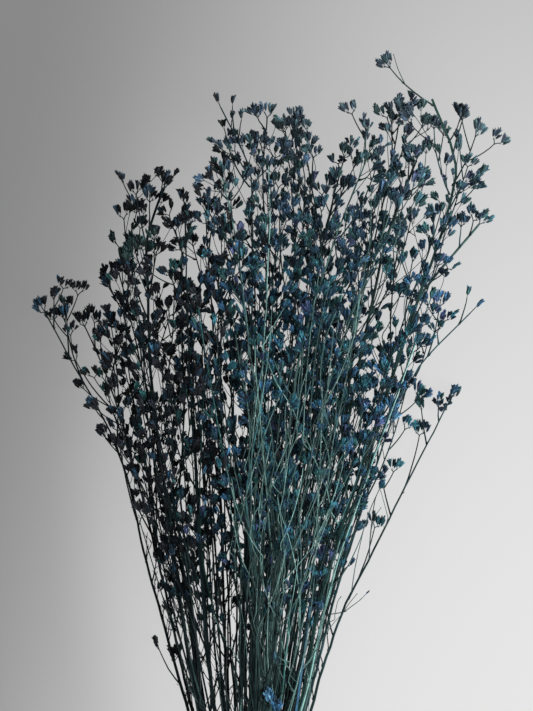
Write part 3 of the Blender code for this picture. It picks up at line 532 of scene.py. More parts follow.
# Where the floor shows through the heads, as traced: x, y and radius in millimetres. A cluster keeps
# this far from their edges.
GAP_MARGIN = 1.1 * MM
GAPS = [
    (-57, 277.5, 2.5), (-48, 259, 3), (-51, 262.5, 2), (-40.5, 279, 3.5), (-41, 271.5, 2),
    (-39, 263.5, 2.5), (-45.5, 251.5, 2.5), (-47.5, 298, 2.5), (-52.5, 293, 1.5), (-38, 321, 2),
    (-35, 317, 2.5), (-27, 310.5, 3.5), (-21, 286, 3), (-16.5, 281.5, 2), (-24, 272, 2), (-20, 269.5, 1.5),
    (-8.5, 272.5, 3), (-25, 340.5, 4), (-21.5, 336.5, 3), (-24, 328, 2.5), (-3, 343, 4.5), (0, 346.5, 3),
    (-12, 345.5, 2), (3, 324, 2.5), (0.5, 319.5, 2), (9, 310.5, 2.5), (14.5, 313.5, 2.5), (15.5, 320, 2),
    (20.5, 317.5, 1.5), (9.5, 345.5, 2.5), (28.5, 329, 2.5), (40.5, 334.5, 2), (50.5, 341.5, 3),
    (50, 336.5, 2.5), (69.5, 315.5, 2.5), (67, 301, 2.5), (66, 294.5, 3), (60, 283.5, 2), (49.5, 276, 2.5),
    (22, 273.5, 2.5), (83, 319.5, 3.5), (81.5, 310.5, 3), (83, 328.5, 2.5), (78, 293.5, 2.5),
    (79, 283.5, 3), (79.5, 261.5, 2.5), (76, 257, 2), (12, 244.5, 2.5), (-9, 249, 2.5), (-6, 243.5, 2),
    (-7.5, 239.5, 2), (-3, 238, 2), (-1.5, 226, 3), (-29.5, 230, 2), (-21.5, 240.5, 2), (-20.5, 222.5, 1.5),
    (-26.5, 213, 2.5), (-25.5, 200.5, 2.5), (-32, 204.5, 2), (-20, 202, 2), (-27, 179, 3),
    (-11, 189.5, 2.5), (-15.5, 188.5, 2), (56, 234.5, 3.5), (52.5, 242, 2), (44.5, 211.5, 2.5),
    (55, 200, 3.5), (-1.5, 175.5, 2), (-1.5, 168.5, 2), (0, 163.5, 2), (-14.5, 170.5, 2), (-21.5, 158.5, 2),
    (-18, 151.5, 2), (-9.5, 146.5, 2), (-5.5, 136, 2), (-9, 128.5, 2.5), (-12, 119.5, 2.5),
    (-18.5, 129.5, 2.5), (-16, 110.5, 2.5), (20, 127, 2), (24.5, 131.5, 2), (-8, 104.5, 2),
    (-20.5, 99.5, 2.5), (-45, 332, 3.5), (-34, 344.5, 3.5), (-66.5, 294.5, 2), (-60.5, 302, 2),
]

# The stems that show in front: up to this share of their height, no cluster hides them from above.
FRONT_STEMS = ("stem_front_left", "stem_front_middle", "stem_front_right", "stem_middle_spire")
FRONT_CLEAR = 2.4 * MM
FRONT_CLEAR_SHARE = 0.95

# How thick the solids' stalks are here from root to tip, how much slimmer than the solid a stem is
# at its foot and its tip, and the stems that keep their full thickness there.
BRANCH_FINE_R = (0.46 * MM, 0.28 * MM)
TWIG_FINE_R = (0.33 * MM, 0.24 * MM)
STEM_SLIMMING = (0.9, 0.55)
FULL_STEMS = ("stem_front_right", "stem_right_wide", "stem_right_upper", "stem_left_tall")

# How far apart fine twigs leave what carries them, closer towards its tip, and from what height. A
# branch has none on its first quarter.
STEM_TWIG_EVERY = 7.5 * MM
BRANCH_TWIG_EVERY = 7 * MM
BRANCH_PARTS = 4
STRAND_TWIG_EVERY = 9.5 * MM
LOW_TWIG_EVERY = 15 * MM
TIP_BIAS = 0.62
STRAND_BARE_BELOW = 118 * MM
STEM_BARE_BELOW = 150 * MM
LOW_TWIGS = (104 * MM, 150 * MM)

# How many florets a fine twig's cluster has, and the room that each count takes up: its foot, and
# its florets round their middle. A spikelet of the solid becomes a group, which this count marks.
FLORET_COUNTS = (2, 3, 4, 5, 5, 6, 7)
CLUSTER_R = (0, 1.4 * MM, 1.9 * MM, 2.3 * MM, 2.6 * MM, 2.9 * MM, 3.1 * MM, 3.3 * MM)
CLUSTER_FOOT_R = 0.5 * MM
CLUSTER_FOOT, CLUSTER_MIDDLE = 0.4, 0.85
GROUP = -1

# Bare twiglets low on the stems: they lean by so many degrees, and are forked at two of their
# points, with a tiny bud on each end.
TWIGLETS_PER_STEM = 17
TWIGLET_Y = (76 * MM, 190 * MM)
TWIGLET_LENGTH = (7 * MM, 24 * MM)
TWIGLET_LEAN = (18, 42)
TWIGLET_R = (0.3 * MM, 0.17 * MM)
TWIGLET_BOW = 0.08
TWIGLET_POINTS = 7
PRONGS_AT = (3, 5)
PRONG_OUT, PRONG_SIDE, PRONG_BEND = 0.5, 0.3, 0.6
PRONG_LENGTH = (0.15, 0.3)
PRONG_R = (0.18 * MM, 0.13 * MM)
PRONG_LOWEST = 1.5 * MM
TWIGLET_BUD, PRONG_BUD = 0.45, 0.42

# A floret: its calyx's rings as shares of its length and of its rim's radius, how much they differ,
# how far up the throat lies, how deep its pleats are, and how it widens from a closed to an open one.
FLORET_L = 5.0 * MM
FLORET_R = 1.14 * MM
FLORET_COLUMNS = 6
FLORET_BENDS = (-0.14, 0.14)
CALYX = ((0.22, 0.62), (0.64, 1.0))
CALYX_WIDTHS = (0.88, 1.12)
CALYX_SHIFTS = (-0.03, 0.03)
CALYX_FLARE = (0.62, 1.0)
CALYX_THROAT = 0.5
PLEAT = 0.22

# Its rim's teeth and the notches between them, in the same shares. The notches have a little less of
# the rim's dye, and the throat, a recess, gets painted shade: less of the foot's.
TOOTH_HEIGHTS = (0.86, 1.1)
TOOTH_WIDTHS = (0.85, 1.3)
TOOTH_FLARE = (0.3, 1.1)
NOTCH_HEIGHT, NOTCH_WIDTH = 0.8, 0.95
NOTCH_SHIFTS = (-0.08, 0.03)
NOTCH_FLARE = (0.55, 1.0)
NOTCH_RIM = 0.8
PAINTED_THROAT_SHADE = 0.4

# Its petals, in the same shares: root, tip, half width, how unevenly the tip droops, and the fold.
PETALS = 3
PETAL_ROOT, PETAL_ROOT_OUT = 0.52, 0.06
PETAL_HEIGHTS = (0.82, 1.16)
PETAL_REACHES = (0.1, 0.95)
PETAL_FLARE = (0.4, 1.0)
PETAL_WIDTHS = (0.26, 0.46)
PETAL_DROOPS = (-0.12, 0.04)
FOLD_AT, FOLD_OUT = 0.62, 0.26
PETAL_FACES = [(0, 1, 2), (0, 2, 3), (0, 3, 1), (1, 3, 2)]
PETAL_SHARES = [(0, 0, 0.5, 0), (0, 0, 1, 0), (0, 0, 1, 0), (0, 0, 0.7, 0)]

# Its bracts, which this share of florets has.
BRACT_SHARE = 0.3
BRACT_TURNS = (-0.4, 0.4)
BRACT_ROOT = -0.06
BRACT_HEIGHTS = (0.36, 0.52)
BRACT_REACHES = (0.42, 0.52)
BRACT_MIDDLE = 0.45
BRACT_WIDTH = 0.24
BRACT_BACK = 0.14
BLADE_FACES = [(0, 1, 4), (1, 2, 4), (2, 3, 4), (3, 0, 4), (3, 2, 1, 0)]

# How open each kind of floret is, and how many are made of each. A bud has rings as a calyx has.
KINDS = (0.3, 0.55, 0.8, 1.0, 1.25)
KIND_VARIANTS = 7
BUD_RINGS = ((0.0, 0.12), (0.3, 0.42), (0.65, 0.36))
BUD_COLUMNS = 4
BUD_LENGTH = 0.6
BUD_ROLL = 6.3

# A scale sits where a side stalk leaves: its length in millimetres, and shares of that.
SCALE_LENGTHS = (1.6, 2.8)
SCALE_MIDDLE = (0.4, 0.25)
SCALE_TIP_OUT = 0.45
SCALE_WIDTH = 0.16
SCALE_BACK = 0.05

# A cluster's florets stand side by side, leaning so many degrees apart, and highest in its middle.
# Few florets stand closer than many. Each has a stalk of its own from just under the neck.
FAN_LEAN = (6, 18)
FAN_JITTER = 12
THROUGH_JITTER = 1.6
CROWDING = 0.3
HEAD_HALF_WIDTH = 1.5 * MM
HEAD_DEPTHS = (-0.5, 0.5)
HEAD_RISE = (0.2 * MM, 2.6 * MM)
FLORET_SIZES = (0.82, 1.08)
FLORET_STALK_R = 0.22 * MM
FLORET_STALK_FROM = 0.4 * MM
FLORET_STALK_TO = 0.5 * MM

# A group's heads stand apart on forks, at one of these sets of places, and a middle one rises more.
# In slender places it is one head of two florets.
GROUP_PLACES = ((-1, 1), (-1, 1), (-1, 0.1, 1))
GROUP_COUNTS = (3, 4, 4, 5)
GROUP_HALF_WIDTH = 1.9 * MM
GROUP_RISE = (0.6 * MM, 3.0 * MM)
MIDDLE_RISE = 1.3
GROUP_LEAN, GROUP_LEANS = 0.22, (-0.1, 0.1)
GROUP_SCALE = 0.95
FORK_FROM = 0.5 * MM
FORK_BOW = 0.3
FORK_R = 0.24 * MM
SLENDER_PLACES = [(-9, 388, 14), (-16, 372, 9), (114, 290, 8)]
SLENDER_GROUP, SLENDER_COUNT = (0.1,), 2

# A main stem's ribs, and its cut end: how far it stands out and reaches in, as shares of the first
# step along the stem, and how wide it is.
STEM_RIB = 0.06
CUT_OUT, CUT_IN = 0.004, 0.05
CUT_SHARE = 0.9

# Which of a piece's materials a face has, and from what angle in degrees an edge is sharp.
STALK_KIND, FLORET_KIND = 0, 1
SHARP_FROM = 55

# How dark a calyx's furrows are, as painted shade, and how light its ribs, as a painted highlight, and how
# much the dye differs from point to point. What lies deep in the bunch gets painted shade, darker than its
# top, which is found in square cells.
PAINTED_FURROW_SHADE, PAINTED_RIB_HIGHLIGHT = 0.45, 1.5
FLECKS = (0.45, 1.65)
PAINTED_DEPTH_SHADES = (0.35, 1.15)
PAINTED_SHADE_POWER = 1.2
PAINTED_SHADE_CELL = 7 * MM
LOWEST_POINT = 0.03 * MM

# Dyes, from the almost black left side of the bunch to the bright right side. The left side's near-black is
# partly darker dye and partly painted shade, as the lights stand to the right. The weights say how often
# each is drawn on a side, and the sides change over between these places. Towards the tips the dyes
# fade to grey.
INK_AND_SHADE = (0.0052, 0.0066, 0.0092)
NAVY_DYE = (0.008, 0.029, 0.051)
BLUE_DYE = (0.015, 0.058, 0.112)
VIOLET_DYE = (0.03, 0.044, 0.1)
SKY_DYE = (0.04, 0.11, 0.18)
TEAL_DYE = (0.013, 0.066, 0.086)
GREEN_DYE = (0.010, 0.048, 0.049)
MOSS_DYE = (0.009, 0.027, 0.025)
DARK_STALK = (0.0055, 0.011, 0.0125)
BRIGHT_STALK = (0.05, 0.175, 0.165)
PALE_STALK = (0.15, 0.28, 0.26)
CUT_END = (0.36, 0.33, 0.2)
TWINE_COLOUR = (0.42, 0.3, 0.17)
LEFT_WEIGHTS = {INK_AND_SHADE: 7, NAVY_DYE: 1.6, GREEN_DYE: 0.5}
RIGHT_WEIGHTS = {
    NAVY_DYE: 4.0, TEAL_DYE: 4.0, BLUE_DYE: 1.8, GREEN_DYE: 2.2, VIOLET_DYE: 0.5, SKY_DYE: 0.1,
}
DYE_AND_SHADE_X = (-36 * MM, 10 * MM)
DYE_MIXING = 0.14
FADE_Y, FADE = (300 * MM, 380 * MM), 0.42
FADED_SHADE = 1.15

# How much a floret's dye differs from its cluster's, and how bright its parts are against it and
# how much paler.
SAME_DYE_SHARE = 0.6
FLORET_SHADES = (0.45, 1.3)
FOOT_SHADE = 0.75
RIM_SHADES, RIM_PALENESS = (1.0, 1.8), (0.004, 0.005, 0.006)
PETAL_SHADE, PETAL_PALENESS = 1.3, (0.009, 0.011, 0.018)
BRACT_SHADE, BRACT_PALENESS = 0.55, (0.001, 0.004, 0.003)
FLORET_STALK_SHADE, FLORET_STALK_PALENESS = 0.8, 0.002
BUD_TIP_SHADE = 0.8

# Where a dye took most, in this share of florets and in one stem: (x, y, radius) as traced, in
# millimetres.
PATCH_SHARE = 0.75
PATCH_BLUES = (BLUE_DYE, BLUE_DYE, SKY_DYE, VIOLET_DYE)
BLUE_PATCHES = [
    (67, 236, 12), (95, 297, 7), (90, 311, 6), (50, 187, 8), (40, 165, 7), (14, 95, 8), (28, 288, 6),
    (59, 332, 8), (105, 258, 8), (-20, 300, 5),
]
GREEN_PATCHES = [(-56, 324, 11), (-94, 290, 3.5)]
BLUE_STALKS = [(29, 133, 2.5), (28, 128, 2.5), (27.5, 122, 2.5), (27, 116, 2.5), (26.5, 110, 2.5)]

# How bright each spray's stalks are dyed, from black to teal. The left sprays' near-black is partly
# painted shade, as the lights stand to the right.
STALK_SHADES = {
    "stem_left_low": 0.02, "stem_middle_low": 0.16, "stem_right_low": 0.3, "stem_left_side": 0.02,
    "stem_left_inner": 0.08, "stem_right_inner": 0.35, "stem_right_reach": 0.4, "stem_left_reach": 0.05,
    "stem_left_tall": 0.16, "stem_middle": 0.25, "stem_right_high": 0.4, "stem_right_wide": 0.5,
    "stem_left_upper": 0.07, "stem_left_spire": 0.3, "stem_middle_spire": 0.35, "stem_right_upper": 0.5,
    "stem_front_left": 0.6, "stem_front_middle": 0.55, "stem_front_right": 0.4,
}

# How a stalk's kind scales that, and how much stalks differ, along themselves and from side to side.
# Some strands of the brighter sprays are pale, and so are some stems, by this share.
GRADE_SHADES = {"stem": (0.6, 0.9), "branch": (0.05, 0.7), "strand": (0.05, 1.2), "twig": (0.0, 0.4)}
STALK_RANGE = (0.4, 1.45)
STALK_BLUES = (0.9, 1.25)
SHADE_POWER = 1.4
BLUE_STALK_SHADE = 0.9
PATCHINESS = 0.12
PATCH_SHADES = (0.55, 1.35)
SCALE_SHADE = 0.7
FORK_SHADE = 1.6
PALE_SHARE = 0.17
PALE_RANGE = (0.3, 0.75)
PALE_FROM_SHADE = 0.2
PALE_STEMS = {"stem_front_left": 0.62, "stem_front_middle": 0.58, "stem_right_wide": 0.2}
STREAKS = (0.55, 1.35)

# Finishes: how fine the grain is, how dark and how light it makes the dye, how strong its relief is,
# how rough it is and how strong its sheen. The coarser grain is this much larger.
STALK_FINISH = (1500, 0.5, 1.5, 0.3, 0.45, 0.0)
FLORET_FINISH = (1100, 0.4, 1.7, 0.35, 0.6, 0.05)
TWINE_FINISH = (2200, 0.6, 1.4, 0.5, 0.9, 0.2)
GRAIN_DETAIL = 4
GRAIN_RANGE = (0.3, 0.7)
COARSER = 7
RELIEF_DEPTH = 0.1 * MM
SPECULAR = 0.1

# The floor's tone is painted light: palest round this point and to the right of it, and dimmer to the
# left as a painted falloff, between these distances, where a step in y counts for less. Far off it is
# paler again, and a painted pool of light makes it brightest in an oval behind the bunch. It glows with
# painted light, which washes out the bunch's shadow on it, so the gaps stay bright.
FLOOR_PALE = (0.735, 0.739, 0.735)
FLOOR_DIM = (0.242, 0.244, 0.242)
PALE_POINT = (164 * MM, -1039 * MM)
PALE_STRETCH = 0.226
PALE_FROM, PALE_TO = 253 * MM, 439 * MM
BACK_FROM, BACK_TO, BACK_SHARE = 460 * MM, 1500 * MM, 0.5
PAINTED_POOL_CENTRE = (-30 * MM, 215 * MM)
PAINTED_POOL_REACH = (78 * MM, 230 * MM)
PAINTED_POOL_FROM, PAINTED_POOL_GAIN = 0.35, 1.22
FLOOR_REACH = 4.0
FLOOR_PAINT = 0.08
FLOOR_PAINTED_GLOW = 0.91
FLOOR_ROUGHNESS = 0.9

# Two soft square lights from the right: name, place, aim, size and power, and the surround's colour.
LIGHTS = [
    ("key", (0.42, 0.14, 1.05), (0.02, 0.24, 0.0), 0.6, 13.0),
    ("side", (0.85, 0.1, 0.5), (0.03, 0.24, 0.02), 0.4, 11.0),
]
SURROUND = (0.95, 0.97, 1.0)
SURROUND_STRENGTH = 0.2

# The photograph's frame: its camera looks straight down, from over the eye's point.
PHOTO_HEIGHT = 355.5 * MM
SENSOR = 36.0


def lerp(a, b, t):
    """The value this share of the way from a to b."""
    return a + (b - a) * t


def unit(v):
    """The direction of a vector, with length one."""
    return v / max(np.linalg.norm(v), 1e-12)


def spoke(side, up, turn, flatness=1):
    """The direction that a turn points to, from side towards up."""
    return math.cos(turn) * side + flatness * math.sin(turn) * up


def side_and_up(direction, past=(0.1, 0.2, 1)):
    """Two directions at right angles to this one and to each other."""
    side = unit(np.cross(direction, past))
    return side, np.cross(side, direction)


def as_traced(x, y, z):
    """The point at height z that the eye sees at the traced point (x, y), given in millimetres."""
    shrink = 1 - (z - TRACED_Z) / EYE_DISTANCE
    return np.array([EYE_X + (x * MM - EYE_X) * shrink, EYE_Y + (y * MM - EYE_Y) * shrink, z])


def smooth_through(points, y):
    """The point at height y of a smooth line through points that rise in y."""
    heights = points[:, 1]
    k = int(np.clip(np.searchsorted(heights, y) - 1, 0, len(points) - 2))
    slopes = np.gradient(points, heights, axis=0)
    step = heights[k + 1] - heights[k]
    t = (y - heights[k]) / step
    h = (2 * t**3 - 3 * t**2 + 1, t**3 - 2 * t**2 + t, 3 * t**2 - 2 * t**3, t**3 - t**2)
    return h[0] * points[k] + h[1] * step * slopes[k] + h[2] * points[k + 1] + h[3] * step * slopes[k + 1]


def tie_slots():
    """The place of each stem under the twine, row by row from the surface, by name."""
    slots = {}
    for row, count in enumerate(ROW_COUNTS):
        names = [name for name, (its_row, _, _) in STEMS.items() if its_row == row]
        names.sort(key=lambda name: STEMS[name][2][0][0])
        z = TIE_R + (row - 2) * STEM_PITCH * math.sqrt(3) / 2
        for column, name in enumerate(names):
            slots[name] = ((column - (count - 1) / 2) * STEM_PITCH, z)
    return slots


def stem_route(name, slot, rng):
    """The points that a stem's line runs through, from its cut end to its tip."""
    row, share, fan = STEMS[name]
    x, z = slot
    head_z = ROW_HEAD_Z[row] * share
    cut = (x * CUT_SPREAD, CUT_Y + rng.uniform(-1, 1) * CUT_STAGGER, TIE_R + (z - TIE_R) * CUT_SPREAD)
    route = [cut, (x, -GRIP_Y, z), (x, GRIP_Y, z)]
    for fan_x, fan_y in fan:
        rise = min(1.0, fan_y * MM / HEAD_Y)
        route.append(as_traced(fan_x, fan_y, lerp(z, head_z, rise)))
    if name not in BARE_TIPS:
        route[-1] = short_of(route[-2], route[-1], 1.0)
    return np.array(route)


def short_of(start, end, scale):
    """The neck of a spikelet whose middle is at end, when it is reached from start."""
    return end - unit(end - start) * SPIKELET_MIDDLE * SPIKELET_L * scale


def station_heights(route):
    """The heights at which a stem's line is sampled: its ends, the twine, and even steps above."""
    tip = route[-1][1]
    steps = np.arange(GRIP_Y + STATION_STEP, tip - SHORTEST_STEP, STATION_STEP)
    return [route[0][1], -GRIP_Y, GRIP_Y, *steps, tip]


def spread_apart(lines):
    """Bends the stems clear of each other above the twine, a little at a time."""
    names = sorted(lines)
    for _ in range(SPREAD_ROUNDS):
        for i, a in enumerate(names):
            for b in names[i + 1 :]:
                count = min(len(lines[a]), len(lines[b])) - 1
                for k in range(FIRST_FREE_POINT, count):
                    for share in SPREAD_SHARES:
                        push_clear(lines[a], lines[b], k, share)


def push_clear(line_a, line_b, k, share):
    """Moves two stems apart across the fan and in height, where they pass too close after point k."""
    a = lerp(line_a[k], line_a[k + 1], share)
    b = lerp(line_b[k], line_b[k + 1], share)
    away = np.array([a[0] - b[0], 0, a[2] - b[2]])
    needed = 2 * STEM_R + STEM_CLEARANCE
    distance = np.linalg.norm(away)
    if distance >= needed:
        return
    away = unit(away) * (needed - distance) * SPREAD_EASE
    for line, sign in ((line_a, 1), (line_b, -1)):
        line[k] += sign * away * (1 - share)
        line[k + 1] += sign * away * share


def stem_lines():
    """Every stem's line, as an array of points from the cut end to the tip, by name."""
    rng = random.Random(SEED)
    slots = tie_slots()
    lines = {}
    for name in STEMS:
        route = stem_route(name, slots[name], rng)
        lines[name] = np.array([smooth_through(route, y) for y in station_heights(route)])
    spread_apart(lines)
    return lines


def stem_radius(line, point):
    """The stem's radius at a point of its line: full up to the twine, then thinner to the tip."""
    share = np.clip((point[1] - GRIP_Y) / (line[-1][1] - GRIP_Y), 0, 1)
    return lerp(STEM_R, TIP_R, share**TAPER_POWER)


class Growth:
    """What has grown so far, as rods of (start, end, radius), so that the next piece can keep clear."""

    def __init__(self):
        self.count, self.last_owner = 0, 0
        self.starts, self.ends = np.zeros((ROD_LIMIT, 3)), np.zeros((ROD_LIMIT, 3))
        self.lows, self.highs = np.zeros((ROD_LIMIT, 3)), np.zeros((ROD_LIMIT, 3))
        self.radii, self.owners = np.zeros(ROD_LIMIT), np.zeros(ROD_LIMIT, int)
        self.heads = np.zeros((0, 3))

    def new_owner(self):
        """A number that no piece has yet."""
        self.last_owner += 1
        return self.last_owner

    def add_head(self, rods):
        """Adds the room that a spikelet takes, and notes where its middle is."""
        self.add(rods, self.new_owner())
        self.heads = np.vstack([self.heads, rods[-1][0]])

    def bareness(self, point):
        """How far a point lies from the nearest spikelet, as it looks from above."""
        return np.linalg.norm((self.heads - point) * (1, 1, HEIGHT_WEIGHT), axis=1).min()

    def add(self, rods, owner):
        """Adds rods that belong to one owner."""
        for start, end, radius in rods:
            k = self.count
            self.starts[k], self.ends[k], self.radii[k], self.owners[k] = start, end, radius, owner
            self.lows[k] = np.minimum(start, end) - radius
            self.highs[k] = np.maximum(start, end) + radius
            self.count += 1

    def top_near(self, point, reach):
        """The greatest height of what has grown above or below a point."""
        n = self.count
        near = (self.lows[:n, :2] < point[:2] + reach).all(1)
        near &= (self.highs[:n, :2] > point[:2] - reach).all(1)
        return self.highs[:n, 2][near].max() if near.any() else 0.0

    def room(self, rods, parent):
        """The least gap between these rods and all that has grown near them, apart from their parent."""
        low = np.min([np.minimum(a, b) - r for a, b, r in rods], axis=0) - CLEARANCE
        high = np.max([np.maximum(a, b) + r for a, b, r in rods], axis=0) + CLEARANCE
        n = self.count
        near = (self.lows[:n] < high).all(1) & (self.highs[:n] > low).all(1) & (self.owners[:n] != parent)
        found = np.nonzero(near)[0]
        if not len(found):
            return math.inf
        starts, ends, radii = self.starts[found], self.ends[found], self.radii[found]
        return min((rod_distances(a, b, starts, ends) - radii - r).min() for a, b, r in rods)


def rod_distances(p, q, starts, ends):
    """The distance from the rod p-q to each of the rods starts-ends."""
    d1, d2, r = q - p, ends - starts, p - starts
    a = max(d1 @ d1, 1e-14)
    e = np.maximum((d2 * d2).sum(1), 1e-14)
    b, c, f = d2 @ d1, r @ d1, (d2 * r).sum(1)
    s = np.clip((b * f - c * e) / np.maximum(a * e - b * b, 1e-20), 0, 1)
    t = np.clip((b * s + f) / e, 0, 1)
    s = np.clip((b * t - c) / a, 0, 1)
    t = np.clip((b * s + f) / e, 0, 1)
    return np.linalg.norm(r + s[:, None] * d1 - t[:, None] * d2, axis=1)


def spikelet_rods(neck, direction, scale):
    """The room that a spikelet takes: its slim foot, and a ball round its open lobes."""
    foot = neck + direction * FOOT_L * SPIKELET_L * scale
    middle = neck + direction * LOBES_AT * SPIKELET_L * scale
    return [(neck, foot, FOOT_R * SPIKELET_R * scale), (middle, middle, LOBES_R * SPIKELET_R * scale)]


def fan_crossings(y):
    """Where the fan's outline crosses a height, both in millimetres."""
    crossings = []
    for (x0, y0), (x1, y1) in zip(FAN_OUTLINE, FAN_OUTLINE[1:] + FAN_OUTLINE[:1]):
        if (y0 > y) != (y1 > y):
            crossings.append(x0 + (y - y0) * (x1 - x0) / (y1 - y0))
    return crossings


def inside_fan(point):
    """Whether a point lies inside the fan's outline, seen from above."""
    return sum(point[0] / MM < x for x in fan_crossings(point[1] / MM)) % 2 == 1


def fits_below(rods, top=TOP_Z):
    """Whether rods lie clear of the surface and below the top of the heads."""
    return all(min(a[2], b[2]) - radius > 0 and max(a[2], b[2]) < top for a, b, radius in rods)


def as_seen(points):
    """Where points look to lie from the eye, as traced, in metres."""
    points = np.atleast_2d(points)
    shrink = 1 - (points[:, 2] - TRACED_Z) / EYE_DISTANCE
    return np.stack([EYE_X + (points[:, 0] - EYE_X) / shrink, EYE_Y + (points[:, 1] - EYE_Y) / shrink], 1)


def within(x, y, place):
    """Whether (x, y), in metres, lies in a round place that is given in millimetres."""
    return math.hypot(x - place[0] * MM, y - place[1] * MM) < place[2] * MM


def near_patch(point, patches):
    """Whether a point looks, from the eye, to lie in one of the patches."""
    x, y = as_seen(point)[0]
    return any(within(x, y, patch) for patch in patches)


GAP_PLACES = np.array(GAPS) * MM


def gaps_covered(points, margin=0.0):
    """How many of the gaps these points would cover, seen from above."""
    seen = as_seen(points)
    away = np.linalg.norm(seen[:, None, :] - GAP_PLACES[None, :, :2], axis=2)
    return int((away < GAP_PLACES[None, :, 2] + margin).any(0).sum())


def closest_heads(point):
    """How close clusters may look from above: the heads are crowded here and open there."""
    x, y, _ = point
    for place in CROWDED:
        if within(x, y, place):
            return place[3] * MM
    return max([CLOSEST] + [place[3] * MM for place in OPEN_PLACES if within(x, y, place)])


def curve_up(start, end, bow):
    """Three points from start to end on a curve that leaves sideways and then turns up."""
    control = start + (end - start) * SIDEWAYS_FIRST + bow
    return np.array([start, (start + 2 * control + end) / 4, end])


def branch_rods(line):
    """The room that the two halves of a branch take."""
    return [(line[0], line[1], BRANCH_R[0]), (line[1], line[2], BRANCH_R[0])]


